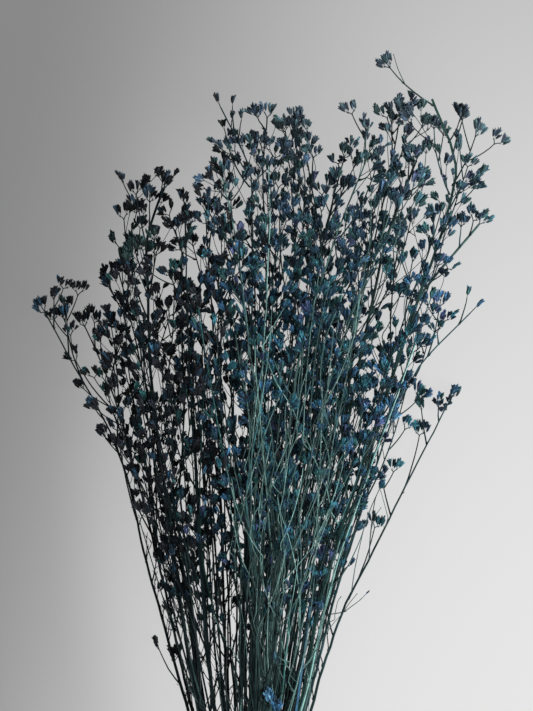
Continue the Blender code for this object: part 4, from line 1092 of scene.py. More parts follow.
class Stem:
    """One stem: its line, its branches, its twigs, and the spikelets that these bear."""

    def __init__(self, name, line, growth, number):
        self.name, self.line, self.growth, self.number = name, line, growth, number
        self.rng = random.Random(SEED * GROWTH_SEEDS + number)
        self.branches, self.twigs = [], []
        radii = [stem_radius(line, point) for point in line]
        self.owner = growth.new_owner()
        growth.add(rods_along(line, radii), self.owner)

    def at(self, y):
        """The point of the stem at height y, and its direction there."""
        k = int(np.clip(np.searchsorted(self.line[:, 1], y) - 1, 0, len(self.line) - 2))
        a, b = self.line[k], self.line[k + 1]
        return lerp(a, b, (y - a[1]) / (b[1] - a[1])), unit(b - a)

    def try_branch(self, line, scale, twigs, resting=False):
        """Adds a branch along this line, with a spikelet at its end, if it fits. Says whether it did."""
        rods = branch_rods(line)
        head = spikelet_rods(line[-1], unit(line[-1] - line[-2]), scale)
        fits = resting or fits_below(rods + head)
        if not fits or self.growth.room(rods + head, self.owner) < CLEARANCE:
            return False
        owner = self.growth.new_owner()
        self.growth.add(rods, owner)
        self.growth.add_head(head)
        self.branches.append({"line": line, "scale": scale, "twigs": twigs, "owner": owner})
        return True

    def edge_branch(self, start_y, end_x, end_y, twigs):
        """A branch whose place across the fan is given: the first height that is free is taken."""
        scale = self.rng.uniform(*SPIKELET_SCALE)
        for step in EDGE_HEIGHTS:
            for slide in EDGE_SLIDES:
                start, _ = self.at((start_y + slide) * MM)
                end = as_traced(end_x, end_y, start[2] + (step + EDGE_RISE * (end_y - start_y)) * MM)
                end = short_of(start, end, scale)
                for bow in EDGE_BOWS:
                    if self.try_branch(curve_up(start, end, np.array([0, 0, bow * MM])), scale, twigs):
                        return

    def rest_branch(self, start_y, end_x, end_y):
        """A branch that droops until its spikelet touches the surface."""
        start, _ = self.at(start_y * MM)
        end = short_of(start, as_traced(end_x, end_y, 0), 1.0)
        for _ in range(REST_ROUNDS):
            line = curve_up(start, end, np.array([0, 0, REST_BOW * start[2]]))
            heading = unit(line[-1] - line[-2])
            end[2] += REST_GAP - lowest_of_spikelet(end, heading)
        self.try_branch(line, 1.0, 0, resting=True)

    def fill_branch(self, y, turn):
        """A branch inside the fan: of several free places, the one that looks barest from above."""
        start, along = self.at(y)
        side, up = side_and_up(along, UPWARD)
        longest = min((self.line[-1][1] - y) / 2 + FILL_BELOW_TIP, FILL_LENGTH)
        best = None
        for _ in range(FILL_TRIES):
            angle = turn + self.rng.uniform(-FILL_SIDE_TURN, FILL_SIDE_TURN)
            lean = math.radians(self.rng.uniform(*FILL_LEAN))
            length = longest * self.rng.uniform(*FILL_LENGTH_SHARE)
            scale = self.rng.uniform(*SPIKELET_SCALE)
            out = spoke(side, up, angle, FILL_FLATNESS)
            end = start + length * (math.cos(lean) * along + math.sin(lean) * out)
            line = curve_up(start, end, FILL_BOW * length * out)
            rods = branch_rods(line) + spikelet_rods(end, unit(line[-1] - line[-2]), scale)
            if not inside_fan(end) or not fits_below(rods):
                continue
            if self.growth.room(rods, self.owner) < CLEARANCE:
                continue
            bareness = min(self.growth.bareness(rods[-1][0]), FILL_SPACING)
            if best is None or bareness > best[0]:
                best = (bareness, line, scale)
        if best:
            self.try_branch(best[1], best[2], self.rng.choice(FILL_TWIGS))

    def grow_twigs(self, branch):
        """Twigs on alternate sides of a branch, from its tip down, each with a spikelet at its end."""
        root, middle, tip = branch["line"]
        turn = self.rng.uniform(0, 2 * math.pi)
        for k in range(branch["twigs"]):
            share = 2 * lerp(*TWIG_SHARES, (k + 0.5) / max(branch["twigs"], 2))
            start = lerp(middle, tip, share - 1) if share > 1 else lerp(root, middle, share)
            self.twig(branch, start, unit(tip - middle), turn + k * math.pi)

    def twig(self, branch, start, along, turn):
        """A twig and its spikelet: of several free places, the one that looks barest from above."""
        side, up = side_and_up(along, SKEWED)
        best = None
        for _ in range(TWIG_TRIES):
            angle = turn + self.rng.uniform(-TWIG_SIDE_TURN, TWIG_SIDE_TURN)
            lean = math.radians(self.rng.uniform(*TWIG_LEAN))
            length = self.rng.uniform(*TWIG_LENGTH)
            scale = self.rng.uniform(*TWIG_SCALE)
            direction = unit(math.cos(lean) * along + math.sin(lean) * spoke(side, up, angle))
            neck = start + length * direction
            heading = unit(direction + np.array([0, TWIG_UPTURN, 0]))
            rods = [(start, neck, TWIG_R)] + spikelet_rods(neck, heading, scale)
            if not fits_below(rods) or self.growth.room(rods, branch["owner"]) < CLEARANCE:
                continue
            bareness = min(self.growth.bareness(rods[-1][0]), TWIG_SPACING)
            if best is None or bareness > best[0]:
                best = (bareness, rods, {"start": start, "neck": neck, "heading": heading, "scale": scale})
        if best:
            _, rods, twig = best
            self.growth.add(rods[:1], self.growth.new_owner())
            self.growth.add_head(rods[1:])
            self.twigs.append(twig)

    def tip_spikelet(self):
        """The spikelet that ends the stem."""
        self.growth.add_head(spikelet_rods(self.line[-1], unit(self.line[-1] - self.line[-2]), 1.0))


def grow_bunch():
    """Every stem with its branches and spikelets, each clear of the others."""
    growth = Growth()
    lines = stem_lines()
    stems = [Stem(name, lines[name], growth, number) for number, name in enumerate(STEMS)]
    for stem in stems:
        if stem.name not in BARE_TIPS:
            stem.tip_spikelet()
    for stem in stems:
        for given in REST_BRANCHES.get(stem.name, []):
            stem.rest_branch(*given)
    for stem in stems:
        for given in EDGE_BRANCHES[stem.name]:
            stem.edge_branch(*given)
    for level in range(FILL_BRANCHES):
        for stem in stems:
            top = stem.line[-1][1] - FILL_BELOW_TIP
            share = (level + stem.rng.random()) / FILL_BRANCHES
            stem.fill_branch(lerp(FILL_FIRST_Y, top, share), GOLDEN_TURN * (level + stem.number))
    for stem in stems:
        for branch in stem.branches:
            stem.grow_twigs(branch)
    return stems


def lowest_of_spikelet(neck, heading):
    """How low the spikelet of a resting branch reaches, from its neck's ring to its lobes."""
    side, up = side_and_up(heading)
    turns = [math.pi * k / TWIG_SIDES for k in range(2 * TWIG_SIDES)]
    corners = [neck + BRANCH_R[1] * spoke(side, up, turn) for turn in turns[::2]]
    for k, turn in enumerate(turns):
        along, out = (NOTCH_ALONG, NOTCH_OUT) if k % 2 else (1, 1)
        corners.append(neck + along * SPIKELET_L * heading + out * SPIKELET_R * spoke(side, up, turn))
    return min(corner[2] for corner in corners)


def bezier(start, control, end, count):
    """A curve of this many points from start to end, drawn to a control point."""
    t = np.linspace(0, 1, count)[:, None]
    return (1 - t) ** 2 * start + 2 * t * (1 - t) * control + t**2 * end


def through_middle(line):
    """A smooth curve through a branch's three points."""
    start, middle, end = line
    count = max(CURVE_FEWEST, int(np.linalg.norm(end - start) / STALK_STEP) + 1)
    return bezier(start, 2 * middle - (start + end) / 2, end, count)


def rods_along(line, radii):
    """The room that each stretch of a line takes."""
    return [(line[k], line[k + 1], radii[k]) for k in range(len(line) - 1)]


def wander(line, rng, size):
    """The same line with small turns at its inner points, as between a stalk's nodes."""
    bent = line.copy()
    for k in range(1, len(line) - 1):
        bent[k] += [rng.gauss(0, size), 0, rng.gauss(0, size)]
    return bent


def fine_stem_line(line, rng):
    """A stem's line at a finer step: straight up to the twine, and then smooth with slight turns."""
    heights = line[:, 1]
    fine = [*np.linspace(heights[0], heights[2], STRAIGHT_POINTS)[:-1]]
    fine += list(np.arange(heights[2], heights[-1] - STEM_LAST_STEP, STEM_FINE_STEP)) + [heights[-1]]
    points = []
    for y in fine:
        k = int(np.clip(np.searchsorted(heights, y) - 1, 0, len(line) - 2))
        straight = lerp(line[k], line[k + 1], (y - heights[k]) / (heights[k + 1] - heights[k]))
        smooth = smooth_through(line, y)
        points.append(lerp(straight, smooth, SMOOTHNESS) if y > heights[2] else straight)
    points = np.array(points)
    bent = wander(points[STRAIGHT_POINTS - 1 :], rng, STEM_WANDER)
    return np.vstack([points[:STRAIGHT_POINTS], bent[1:]])


def cluster_rods(neck, heading, scale, count):
    """The room that a cluster of so many florets takes."""
    foot = neck + heading * CLUSTER_FOOT * FLORET_L * scale
    middle = neck + heading * CLUSTER_MIDDLE * FLORET_L * scale
    return [(neck, foot, CLUSTER_FOOT_R), (middle, middle, CLUSTER_R[count] * scale)]


def bent_to(start, neck, heading, count):
    """A stalk of this many points that turns to a heading as it reaches its neck."""
    control = neck - HEADING_BEND * np.linalg.norm(neck - start) * heading
    return bezier(start, control, neck, count)


class Spray:
    """The finer parts of one stem: its stalks, each a line with radii, and its clusters of florets."""

    def __init__(self, stem):
        self.stem, self.name, self.growth = stem, stem.name, stem.growth
        self.rng = random.Random(SEED * FINE_SEEDS + stem.number)
        self.stalks, self.clusters, self.carriers, self.young = [], [], [], []
        self.front, self.front_points = [], np.zeros((0, 3))

    def take_over(self):
        """Takes the stem, the branches and the twigs that the solid has."""
        stem, rng = self.stem, self.rng
        line = fine_stem_line(stem.line, rng)
        slimming = (STEM_SLIMMING[0], 1.0) if stem.name in FULL_STEMS else STEM_SLIMMING
        slim = [lerp(*slimming, np.clip(point[1] / line[-1][1], 0, 1)) for point in line]
        radii = [stem_radius(stem.line, point) * share for point, share in zip(line, slim)]
        self.stalks.append((line, radii, STEM_RIB_SIDES, "stem"))
        self.carriers.append((line[line[:, 1] > STEM_BARE_BELOW], stem.owner, STEM_TWIG_EVERY))
        low = line[(line[:, 1] > LOW_TWIGS[0]) & (line[:, 1] < LOW_TWIGS[1])]
        self.carriers.append((low, stem.owner, LOW_TWIG_EVERY))
        if stem.name not in BARE_TIPS:
            self.clusters.append((line[-1], unit(line[-1] - line[-3]), 1.0, GROUP))
        for branch in stem.branches:
            curve = wander(through_middle(branch["line"]), rng, BRANCH_WANDER)
            self.clusters.append((curve[-1], unit(curve[-1] - curve[-3]), branch["scale"], GROUP))
            self.stalks.append((curve, np.linspace(*BRANCH_FINE_R, len(curve)), FRONT_SIDES, "branch"))
            self.carriers.append((curve[len(curve) // BRANCH_PARTS :], branch["owner"], BRANCH_TWIG_EVERY))
        for twig in stem.twigs:
            curve = bent_to(twig["start"], twig["neck"], twig["heading"], TWIG_POINTS)
            self.clusters.append((curve[-1], twig["heading"], twig["scale"], GROUP))
            self.stalks.append((curve, np.linspace(*TWIG_FINE_R, len(curve)), STRAND_SIDES, "twig"))

    def add_strands(self):
        """Long thin side stalks that leave low on the stem and run up beside it."""
        middle = MIDDLE_X[0] < self.stem.at(MIDDLE_Y)[0][0] < MIDDLE_X[1]
        for _ in range(MIDDLE_STRANDS if middle else LOW_STRANDS_PER_STEM):
            self.strand(self.rng.uniform(*LOW_START), LOW_OFFSET, LOW_R)
        for _ in range(STRANDS_PER_STEM):
            self.strand(self.rng.uniform(*STRAND_START), STRAND_OFFSET, STRAND_R)

    def strand(self, first_y, offsets, thickness):
        """One strand: of several directions round the stem, the first that is free."""
        stem, rng = self.stem, self.rng
        top = stem.line[-1][1]
        last_y = lerp(first_y, top, rng.uniform(*STRAND_TOP_SHARE))
        heights = np.arange(first_y, last_y, STRAND_STEP)
        if len(heights) < STRAND_FEWEST:
            return
        for attempt in range(STRAND_TRIES):
            turn = rng.uniform(0, 2 * math.pi)
            twist = rng.uniform(-STRAND_TWIST, STRAND_TWIST)
            points = self.strand_points(heights, last_y, turn, twist, rng.uniform(*offsets))
            head = cluster_rods(points[-1], unit(points[-1] - points[-2]), 1.0, STRAND_FLORETS)
            rods = rods_along(points, np.linspace(*thickness, len(points)))
            if not fits_below(rods + head, FINE_TOP_Z) or not inside_fan(points[-1]):
                continue
            if not all(inside_fan(point) for point in points if point[1] > FAN_FOOT):
                continue
            if gaps_covered(smooth_line(points, 3)) > attempt // TRIES_PER_GAP:
                continue
            if self.growth.room(rods[1:] + head, stem.owner) < FINE_CLEARANCE:
                continue
            owner = self.growth.new_owner()
            self.growth.add(rods[1:], owner)
            self.growth.add_head(head)
            fine = smooth_line(wander(points, rng, STRAND_WANDER), 2)
            self.stalks.append((fine, np.linspace(*thickness, len(fine)), STRAND_SIDES, "strand"))
            self.clusters.append((fine[-1], unit(fine[-1] - fine[-3]), STRAND_SCALE, STRAND_FLORETS))
            self.carriers.append((fine[fine[:, 1] > STRAND_BARE_BELOW], owner, STRAND_TWIG_EVERY))
            return

    def strand_points(self, heights, last_y, turn, twist, offset):
        """The points beside the stem that a strand runs through, at these heights."""
        points, total = [], last_y - heights[0]
        for y in heights:
            centre, along = self.stem.at(y)
            risen = y - heights[0]
            grown = min(1.0, risen / STRAND_RISE)
            out = offset * (grown * (2 - grown)) * (STRAND_SPREAD[0] + STRAND_SPREAD[1] * risen / total)
            side, up = side_and_up(along, UPWARD)
            points.append(centre + out * spoke(side, up, turn + twist * risen / total, STRAND_FLATNESS))
        return np.array(points)

    def add_twigs(self, level):
        """Twigs with clusters of florets along each carrier, where there is room."""
        for line, owner, every in self.carriers:
            if len(line) < 3:
                continue
            count = int(np.linalg.norm(np.diff(line, axis=0), axis=1).sum() / every)
            for k in range(level, count, 2):
                share = (k + self.rng.uniform(*TWIG_PLACES)) / count
                place = share**TIP_BIAS * (len(line) - 1)
                i = min(int(place), len(line) - 2)
                start = lerp(line[i], line[i + 1], place - i)
                self.twig(owner, start, unit(line[i + 1] - line[i]))

    def twig(self, parent, start, along):
        """A twig and its cluster, in the first place that is free."""
        rng = self.rng
        side, up = side_and_up(along, SKEWED)
        count = rng.choice(FLORET_COUNTS)
        scale = rng.uniform(*FINE_SCALE)
        long = rng.random() < LONG_SHARE
        for _ in range(FINE_TRIES):
            angle = rng.uniform(0, 2 * math.pi)
            lean = math.radians(rng.uniform(*FINE_LEAN))
            length = rng.uniform(*(LONG_LENGTH if long else FINE_LENGTH))
            direction = unit(math.cos(lean) * along + math.sin(lean) * spoke(side, up, angle))
            neck = start + length * direction
            jitter = np.array([rng.gauss(0, HEADING_JITTER) for _ in range(3)])
            heading = unit(direction + np.array([0, TWIG_UPTURN, 0]) + jitter)
            rods = [(start, neck, FINE_TWIG_R[0])] + cluster_rods(neck, heading, scale, count)
            middle = rods[-1][0]
            if not fits_below(rods, FINE_TOP_Z) or not inside_fan(middle):
                continue
            if self.growth.bareness(middle) < closest_heads(middle):
                continue
            if gaps_covered(np.array([middle, neck]), GAP_MARGIN):
                continue
            if self.hides_front_stem(middle) or self.hides_front_stalk(middle):
                continue
            if self.growth.room(rods, parent) < FINE_CLEARANCE:
                continue
            self.keep_twig(rods, heading, scale, count, long)
            return

    def keep_twig(self, rods, heading, scale, count, long):
        """Adds a twig and its cluster where they were found to fit."""
        start, neck, _ = rods[0]
        owner = self.growth.new_owner()
        self.growth.add(rods[:1], owner)
        self.growth.add_head(rods[1:])
        curve = bent_to(start, neck, heading, LONG_POINTS if long else FINE_POINTS)
        self.stalks.append((curve, np.linspace(*FINE_TWIG_R, len(curve)), FINE_SIDES, "twig"))
        self.clusters.append((neck, heading, scale, count))
        if long:
            self.young.append((curve[2:], owner, BRANCH_TWIG_EVERY))

    def hides_front_stem(self, point):
        """Whether a cluster here would hide one of the front stems from above."""
        for stem in self.front:
            if stem is self.stem or not stem.line[0][1] < point[1] < stem.line[-1][1] * FRONT_CLEAR_SHARE:
                continue
            centre, _ = stem.at(point[1])
            if point[2] > centre[2] and abs(point[0] - centre[0]) < FRONT_CLEAR:
                return True
        return False

    def hides_front_stalk(self, point):
        """Whether a cluster here would hide a front stalk from above."""
        lower = self.front_points[self.front_points[:, 2] < point[2]]
        if not len(lower):
            return False
        return np.linalg.norm(as_seen(lower) - as_seen(point), axis=1).min() < FRONT_GAP

    def add_twiglets(self):
        """Bare forked twiglets low on the stem."""
        stem, rng = self.stem, self.rng
        for _ in range(TWIGLETS_PER_STEM):
            start, along = stem.at(rng.uniform(*TWIGLET_Y))
            self.twiglet(start, along, rng.uniform(*TWIGLET_LENGTH), stem.owner)

    def twiglet(self, start, along, length, parent):
        """One bare twiglet, with a fork, if there is room for it."""
        rng = self.rng
        side, up = side_and_up(along, UPWARD)
        for _ in range(FINE_TRIES):
            out = spoke(side, up, rng.uniform(0, 2 * math.pi))
            lean = math.radians(rng.uniform(*TWIGLET_LEAN))
            direction = unit(math.cos(lean) * along + math.sin(lean) * out)
            end = start + length * direction
            rods = [(start, end, TWIGLET_R[0])]
            if not fits_below(rods, FINE_TOP_Z) or not inside_fan(end):
                continue
            if self.growth.room(rods, parent) < FINE_CLEARANCE:
                continue
            self.growth.add(rods, self.growth.new_owner())
            control = lerp(start, end, 0.5) - TWIGLET_BOW * length * out
            curve = wander(bezier(start, control, end, TWIGLET_POINTS), rng, TWIGLET_WANDER)
            self.stalks.append((curve, np.linspace(*TWIGLET_R, TWIGLET_POINTS), STRAND_SIDES, "twig"))
            for k in PRONGS_AT:
                turn = rng.uniform(-1, 1)
                prong = unit(direction + PRONG_OUT * out * math.copysign(1, turn) + PRONG_SIDE * side * turn)
                tip = curve[k] + rng.uniform(*PRONG_LENGTH) * length * prong
                tip[2] = max(tip[2], PRONG_LOWEST)
                line = bezier(curve[k], lerp(curve[k], tip, PRONG_BEND), tip, FINE_POINTS)
                self.stalks.append((line, np.linspace(*PRONG_R, len(line)), FINE_SIDES, "twig"))
                self.clusters.append((tip, prong, PRONG_BUD, 0))
            self.clusters.append((end, direction, TWIGLET_BUD, 0))
            return


class FrontStalks:
    """The stalks that show in front of the rest, each rooted on a stem or on another of them."""

    def __init__(self, sprays):
        self.sprays, self.growth = sprays, sprays[0].growth
        self.rng = random.Random(SEED + FRONT_SEED)
        self.anchors, self.anchor_sprays, self.points = [], [], []
        for spray in sprays:
            self.add_anchors(spray.stalks[0][0][STRAIGHT_POINTS:], spray)
            for line, _, _, grade in spray.stalks:
                if grade == "branch":
                    self.add_anchors(line[1:], spray)

    def add_anchors(self, line, spray):
        """Notes the points of a line that a front stalk can be rooted on."""
        self.anchors += list(line)
        self.anchor_sprays += [spray] * len(line)

    def root_for(self, point):
        """The anchor nearest to just below this point, and its spray."""
        offset = np.array(self.anchors) - (point - np.array([0, ROOT_BELOW, 0]))
        nearest = int(np.linalg.norm(offset * ROOT_WEIGHTS, axis=1).argmin())
        return self.anchors[nearest], self.anchor_sprays[nearest]

    def over_the_rest(self, traced, margin):
        """The points over this traced line that lie just above what has grown there."""
        line = smooth_line(np.array([(x, y, 0) for x, y in traced], float), 3)
        points = []
        for x, y, _ in line:
            point = as_traced(x, y, TRACED_Z)
            for _ in range(2):
                top = self.growth.top_near(point, TOP_REACH) + margin
                point = as_traced(x, y, min(top, FRONT_TOP_Z))
            points.append(point)
        return np.array(points)

    def grow(self, shade, thick, tip, traced):
        """One front stalk along a traced line, with what ends it."""
        points = self.over_the_rest(traced, CLUMP_MARGIN if tip == "clump" else TOP_MARGIN)
        root, spray = self.root_for(points[0])
        line, before = [root], root
        for point, (x, y) in zip(points, as_seen(points)):
            step, z = STEEPEST * np.linalg.norm(point[:2] - before[:2]), line[-1][2]
            line.append(as_traced(x / MM, y / MM, np.clip(point[2], z - step, z + step)))
            before = point
        fine = smooth_line(np.array(line), 2)
        radii = np.linspace(thick * MM, max(FRONT_TAPER * thick, FRONT_THINNEST) * MM, len(fine))
        spray.stalks.append((fine, radii, FRONT_SIDES, shade))
        self.growth.add(rods_along(fine, radii), self.growth.new_owner())
        self.points += list(fine)
        self.add_anchors(fine[2:], spray)
        if FRONT_STALK_ENDS[tip]:
            scale, count = FRONT_STALK_ENDS[tip]
            heading = unit(fine[-1] - fine[-3])
            spray.clusters.append((fine[-1], heading, scale, count))
            self.growth.add_head(cluster_rods(fine[-1], heading, scale, count))

    def grow_crossing(self, across, heights, lean_spread, lengths, widths, shades, tip):
        """One more stalk in front, at random."""
        rng = self.rng
        y = rng.uniform(*heights)
        x = lerp(*fan_edges(y), rng.uniform(*across))
        lean = math.atan2(x - FAN_ROOT[0], y - FAN_ROOT[1]) + math.radians(rng.gauss(0, lean_spread))
        bend = math.radians(rng.gauss(0, CROSSING_BEND))
        step = rng.uniform(*lengths) / CROSSING_STEPS
        traced = [(x, y)]
        for k in range(CROSSING_STEPS):
            angle = lean + bend * (k - CROSSING_STEPS // 2)
            traced.append((traced[-1][0] + step * math.sin(angle), traced[-1][1] + step * math.cos(angle)))
        ends = np.array([as_traced(px, py, TRACED_Z) for px, py in traced])
        if not all(inside_fan(end) for end in ends[1:] if end[1] > FAN_FOOT) or not inside_fan(ends[-1]):
            return
        if gaps_covered(smooth_line(ends, CROSSING_CHECKS)) == 0:
            self.grow(rng.uniform(*shades), rng.uniform(*widths), tip, traced)


def fan_edges(y):
    """How far the fan reaches to the left and the right at a height, in millimetres."""
    crossings = fan_crossings(y) or FOOT_EDGES
    return min(crossings), max(crossings)


def smooth_line(points, parts):
    """A smooth line through points, with this many parts to each stretch."""
    padded = np.vstack([2 * points[0] - points[1], points, 2 * points[-1] - points[-2]])
    fine = []
    for k in range(1, len(padded) - 2):
        a, b, c, d = padded[k - 1 : k + 3]
        for t in np.arange(parts) / parts:
            fine.append(0.5 * (2 * b + (c - a) * t + (2 * a - 5 * b + 4 * c - d) * t**2
                               + (3 * b - a - 3 * c + d) * t**3))
    fine.append(points[-1])
    return np.array(fine)


class Skin:
    """The points, faces and dyes, with painted shade, of one mesh in the making. Faces also know which
    material they have.
    """

    def __init__(self, shade_map=None):
        self.points, self.dyes, self.faces, self.kinds, self.count = [], [], [], [], 0
        self.shade_map = shade_map

    def add(self, points, faces, dyes, kind=STALK_KIND):
        """Adds a closed body."""
        self.points.append(points)
        self.dyes.append(np.broadcast_to(dyes, (len(points), 3)))
        offset = self.count
        self.faces += [tuple(i + offset for i in face) for face in faces]
        self.kinds += [kind] * len(faces)
        self.count += len(points)

    def add_tube(self, line, radius, sides, dye):
        """Adds a tube of one thickness and one dye along a line."""
        count = len(line)
        self.add(tube_points(line, [radius] * count, sides), tube_faces(count, sides), dye)

    def piece(self, name, materials):
        """The mesh as an object with these materials."""
        mesh = bpy.data.meshes.new(name)
        mesh.from_pydata(np.vstack(self.points).tolist(), [], self.faces)
        for material in materials:
            mesh.materials.append(material)
        mesh.polygons.foreach_set("material_index", self.kinds)
        dye = mesh.attributes.new("dye", "FLOAT_COLOR", "POINT")
        colours = np.ones((self.count, 4), np.float32)
        colours[:, :3] = np.vstack(self.dyes)
        dye.data.foreach_set("color", colours.ravel())
        mesh.polygons.foreach_set("use_smooth", [True] * len(mesh.polygons))
        mesh.set_sharp_from_angle(angle=math.radians(SHARP_FROM))
        mesh.update()
        return in_scene(name, mesh)


def in_scene(name, data):
    """A new object in the scene that shows this mesh, light or camera."""
    thing = bpy.data.objects.new(name, data)
    bpy.context.scene.collection.objects.link(thing)
    return thing


@functools.cache
def tube_faces(count, sides):
    """The faces of a tube with this many rings, closed at both ends."""
    faces = [tuple(range(sides))[::-1]]
    for k in range(count - 1):
        for i in range(sides):
            here, there = k * sides + i, k * sides + (i + 1) % sides
            faces.append((here, there, there + sides, here + sides))
    faces.append(tuple(range((count - 1) * sides, count * sides)))
    return faces


def sides_along(line):
    """Two directions square to a line at each of its points, with no more twist than it needs."""
    tangents = np.gradient(line, axis=0)
    tangents /= np.linalg.norm(tangents, axis=1)[:, None]
    side, _ = side_and_up(tangents[0])
    for tangent in tangents:
        side = unit(side - (side @ tangent) * tangent)
        yield side, np.cross(tangent, side)


def tube_points(line, radii, sides, rib=0.0):
    """The corners of a tube along a line, ring by ring, with every other corner raised as a rib."""
    angles = 2 * math.pi * np.arange(sides) / sides
    swell = 1 + rib * (-1.0) ** np.arange(sides)
    rings = []
    for point, radius, (side, up) in zip(line, radii, sides_along(line)):
        spokes = np.cos(angles)[:, None] * side + np.sin(angles)[:, None] * up
        rings.append(point + radius * swell[:, None] * spokes)
    return np.vstack(rings)


def facing_out(points, faces):
    """The faces of a convex body, each turned to face outwards."""
    middle = points.mean(0)
    outwards = []
    for face in faces:
        a, b, c = points[face[0]], points[face[1]], points[face[2]]
        outward = np.cross(b - a, c - a) @ (points[list(face)].mean(0) - middle)
        outwards.append(face if outward > 0 else face[::-1])
    return outwards


def blade(root, middle, tip, half, back):
    """The corners of a small closed scale: its root, its middle's left, back and right, and its tip."""
    return np.array([root, middle - half, middle + back, middle + half, tip])


def out_and_round(turn):
    """The direction out from +Z at this turn, and the direction round it there."""
    return np.array([math.cos(turn), math.sin(turn), 0]), np.array([-math.sin(turn), math.cos(turn), 0])


class Floret:
    """A floret along +Z: points, faces, and how much foot, rim, petal and bract dye each point takes, with
    painted shade in its furrows and throat.
    """

    def __init__(self, rng, openness):
        self.rng, self.openness = rng, openness
        self.bend = np.array([rng.uniform(*FLORET_BENDS), rng.uniform(*FLORET_BENDS), 0])
        self.points, self.shares, self.faces = [np.zeros(3)], [(1, 0, 0, 0)], []
        self.add_calyx()
        self.add_petals()
        if rng.random() < BRACT_SHARE:
            self.add_bracts()

    def add_corner(self, k, along, out, rim, shade):
        """A corner of the calyx, in this column of it."""
        ray, _ = out_and_round(2 * math.pi * k / FLORET_COLUMNS)
        self.points.append(FLORET_L * along * (UPWARD + along * self.bend) + FLORET_R * out * ray)
        self.shares.append((shade * (1 - rim), shade * rim, 0, 0))

    def add_calyx(self):
        """The pleated calyx, with its toothed rim and its throat, painted shade in its furrows and throat
        and a painted highlight on its ribs.
        """
        rng, columns = self.rng, FLORET_COLUMNS
        for along, out in CALYX:
            flare = lerp(1, lerp(*CALYX_FLARE, self.openness), along)
            for k in range(columns):
                width = out * flare * rng.uniform(*CALYX_WIDTHS) * (1 - PLEAT * (k % 2))
                height = along + rng.uniform(*CALYX_SHIFTS)
                # Furrows get painted shade and ribs a painted highlight.
                self.add_corner(k, height, width, along**2, PAINTED_FURROW_SHADE if k % 2 else PAINTED_RIB_HIGHLIGHT)
        for k in range(columns):
            if k % 2:
                height = NOTCH_HEIGHT + rng.uniform(*NOTCH_SHIFTS)
                width = NOTCH_WIDTH * lerp(*NOTCH_FLARE, self.openness)
                self.add_corner(k, height, width, NOTCH_RIM, PAINTED_FURROW_SHADE)
            else:
                height = rng.uniform(*TOOTH_HEIGHTS)
                width = rng.uniform(*TOOTH_WIDTHS) * lerp(*TOOTH_FLARE, self.openness)
                self.add_corner(k, height, width, 1, PAINTED_RIB_HIGHLIGHT)
        throat = len(self.points)
        self.points.append(CALYX_THROAT * FLORET_L * (UPWARD + CALYX_THROAT * self.bend))
        # The throat, a recess, gets painted shade.
        self.shares.append((PAINTED_THROAT_SHADE, 0, 0, 0))
        for k in range(columns):
            here, there = 1 + k, 1 + (k + 1) % columns
            self.faces.append((there, here, 0))
            for _ in CALYX:
                self.faces.append((here, there, there + columns, here + columns))
                here, there = here + columns, there + columns
            self.faces.append((here, there, throat))

    def add_body(self, corners, faces, shares):
        """Adds a small closed body."""
        first = len(self.points)
        self.faces += [tuple(first + i for i in face) for face in facing_out(corners, faces)]
        self.points += list(corners)
        self.shares += shares

    def add_petals(self):
        """The withered petals that stand in the calyx's throat, blunt and folded."""
        rng = self.rng
        for k in range(PETALS):
            ray, across = out_and_round(2 * math.pi * (k + rng.random()) / PETALS)
            high = rng.uniform(*PETAL_HEIGHTS) * FLORET_L
            reach = rng.uniform(*PETAL_REACHES) * FLORET_R * lerp(*PETAL_FLARE, self.openness)
            root = np.array([0, 0, PETAL_ROOT * FLORET_L]) + PETAL_ROOT_OUT * FLORET_R * ray
            top = np.array([0, 0, high]) + reach * ray + high * high / FLORET_L * self.bend
            wide = rng.uniform(*PETAL_WIDTHS) * FLORET_R
            left = top - wide * across + np.array([0, 0, rng.uniform(*PETAL_DROOPS) * FLORET_L])
            right = top + wide * across + np.array([0, 0, rng.uniform(*PETAL_DROOPS) * FLORET_L])
            fold = lerp(root, top, FOLD_AT) + FOLD_OUT * FLORET_R * ray
            self.add_body(np.array([root, left, right, fold]), PETAL_FACES, PETAL_SHARES)

    def add_bracts(self):
        """Two pointed scales that clasp the calyx's foot."""
        rng = self.rng
        for k in range(2):
            ray, across = out_and_round(math.pi * k + rng.uniform(*BRACT_TURNS))
            high = rng.uniform(*BRACT_HEIGHTS) * FLORET_L
            root = np.array([0, 0, BRACT_ROOT * FLORET_L])
            middle = BRACT_MIDDLE * high * UPWARD + BRACT_WIDTH * FLORET_R * ray
            tip = high * UPWARD + rng.uniform(*BRACT_REACHES) * FLORET_R * ray
            corners = blade(root, middle, tip, BRACT_WIDTH * FLORET_R * across, BRACT_BACK * FLORET_R * ray)
            self.add_body(corners, BLADE_FACES, [(0, 0, 0, 1)] * len(corners))

    def shape(self):
        """The finished floret's points, faces and shares of dye."""
        return np.array(self.points), self.faces, np.array(self.shares, float)


def bud_shape():
    """A tiny closed bud along +Z, for the tips of bare twiglets."""
    points, shares, columns = [], [], BUD_COLUMNS
    for along, out in BUD_RINGS:
        for k in range(columns):
            ray, _ = out_and_round(2 * math.pi * k / columns)
            points.append(out * FLORET_R * ray + np.array([0, 0, along * BUD_LENGTH * FLORET_L]))
            shares.append((0.5, 0, 0, 0.5))
    tip, last = len(points), len(points) - columns
    points.append(np.array([0, 0, BUD_LENGTH * FLORET_L]))
    shares.append((0, 0, 0, 1))
    faces = tube_faces(len(BUD_RINGS), columns)[:-1]
    faces += [(last + k, last + (k + 1) % columns, tip) for k in range(columns)]
    return np.array(points), faces, np.array(shares, float)


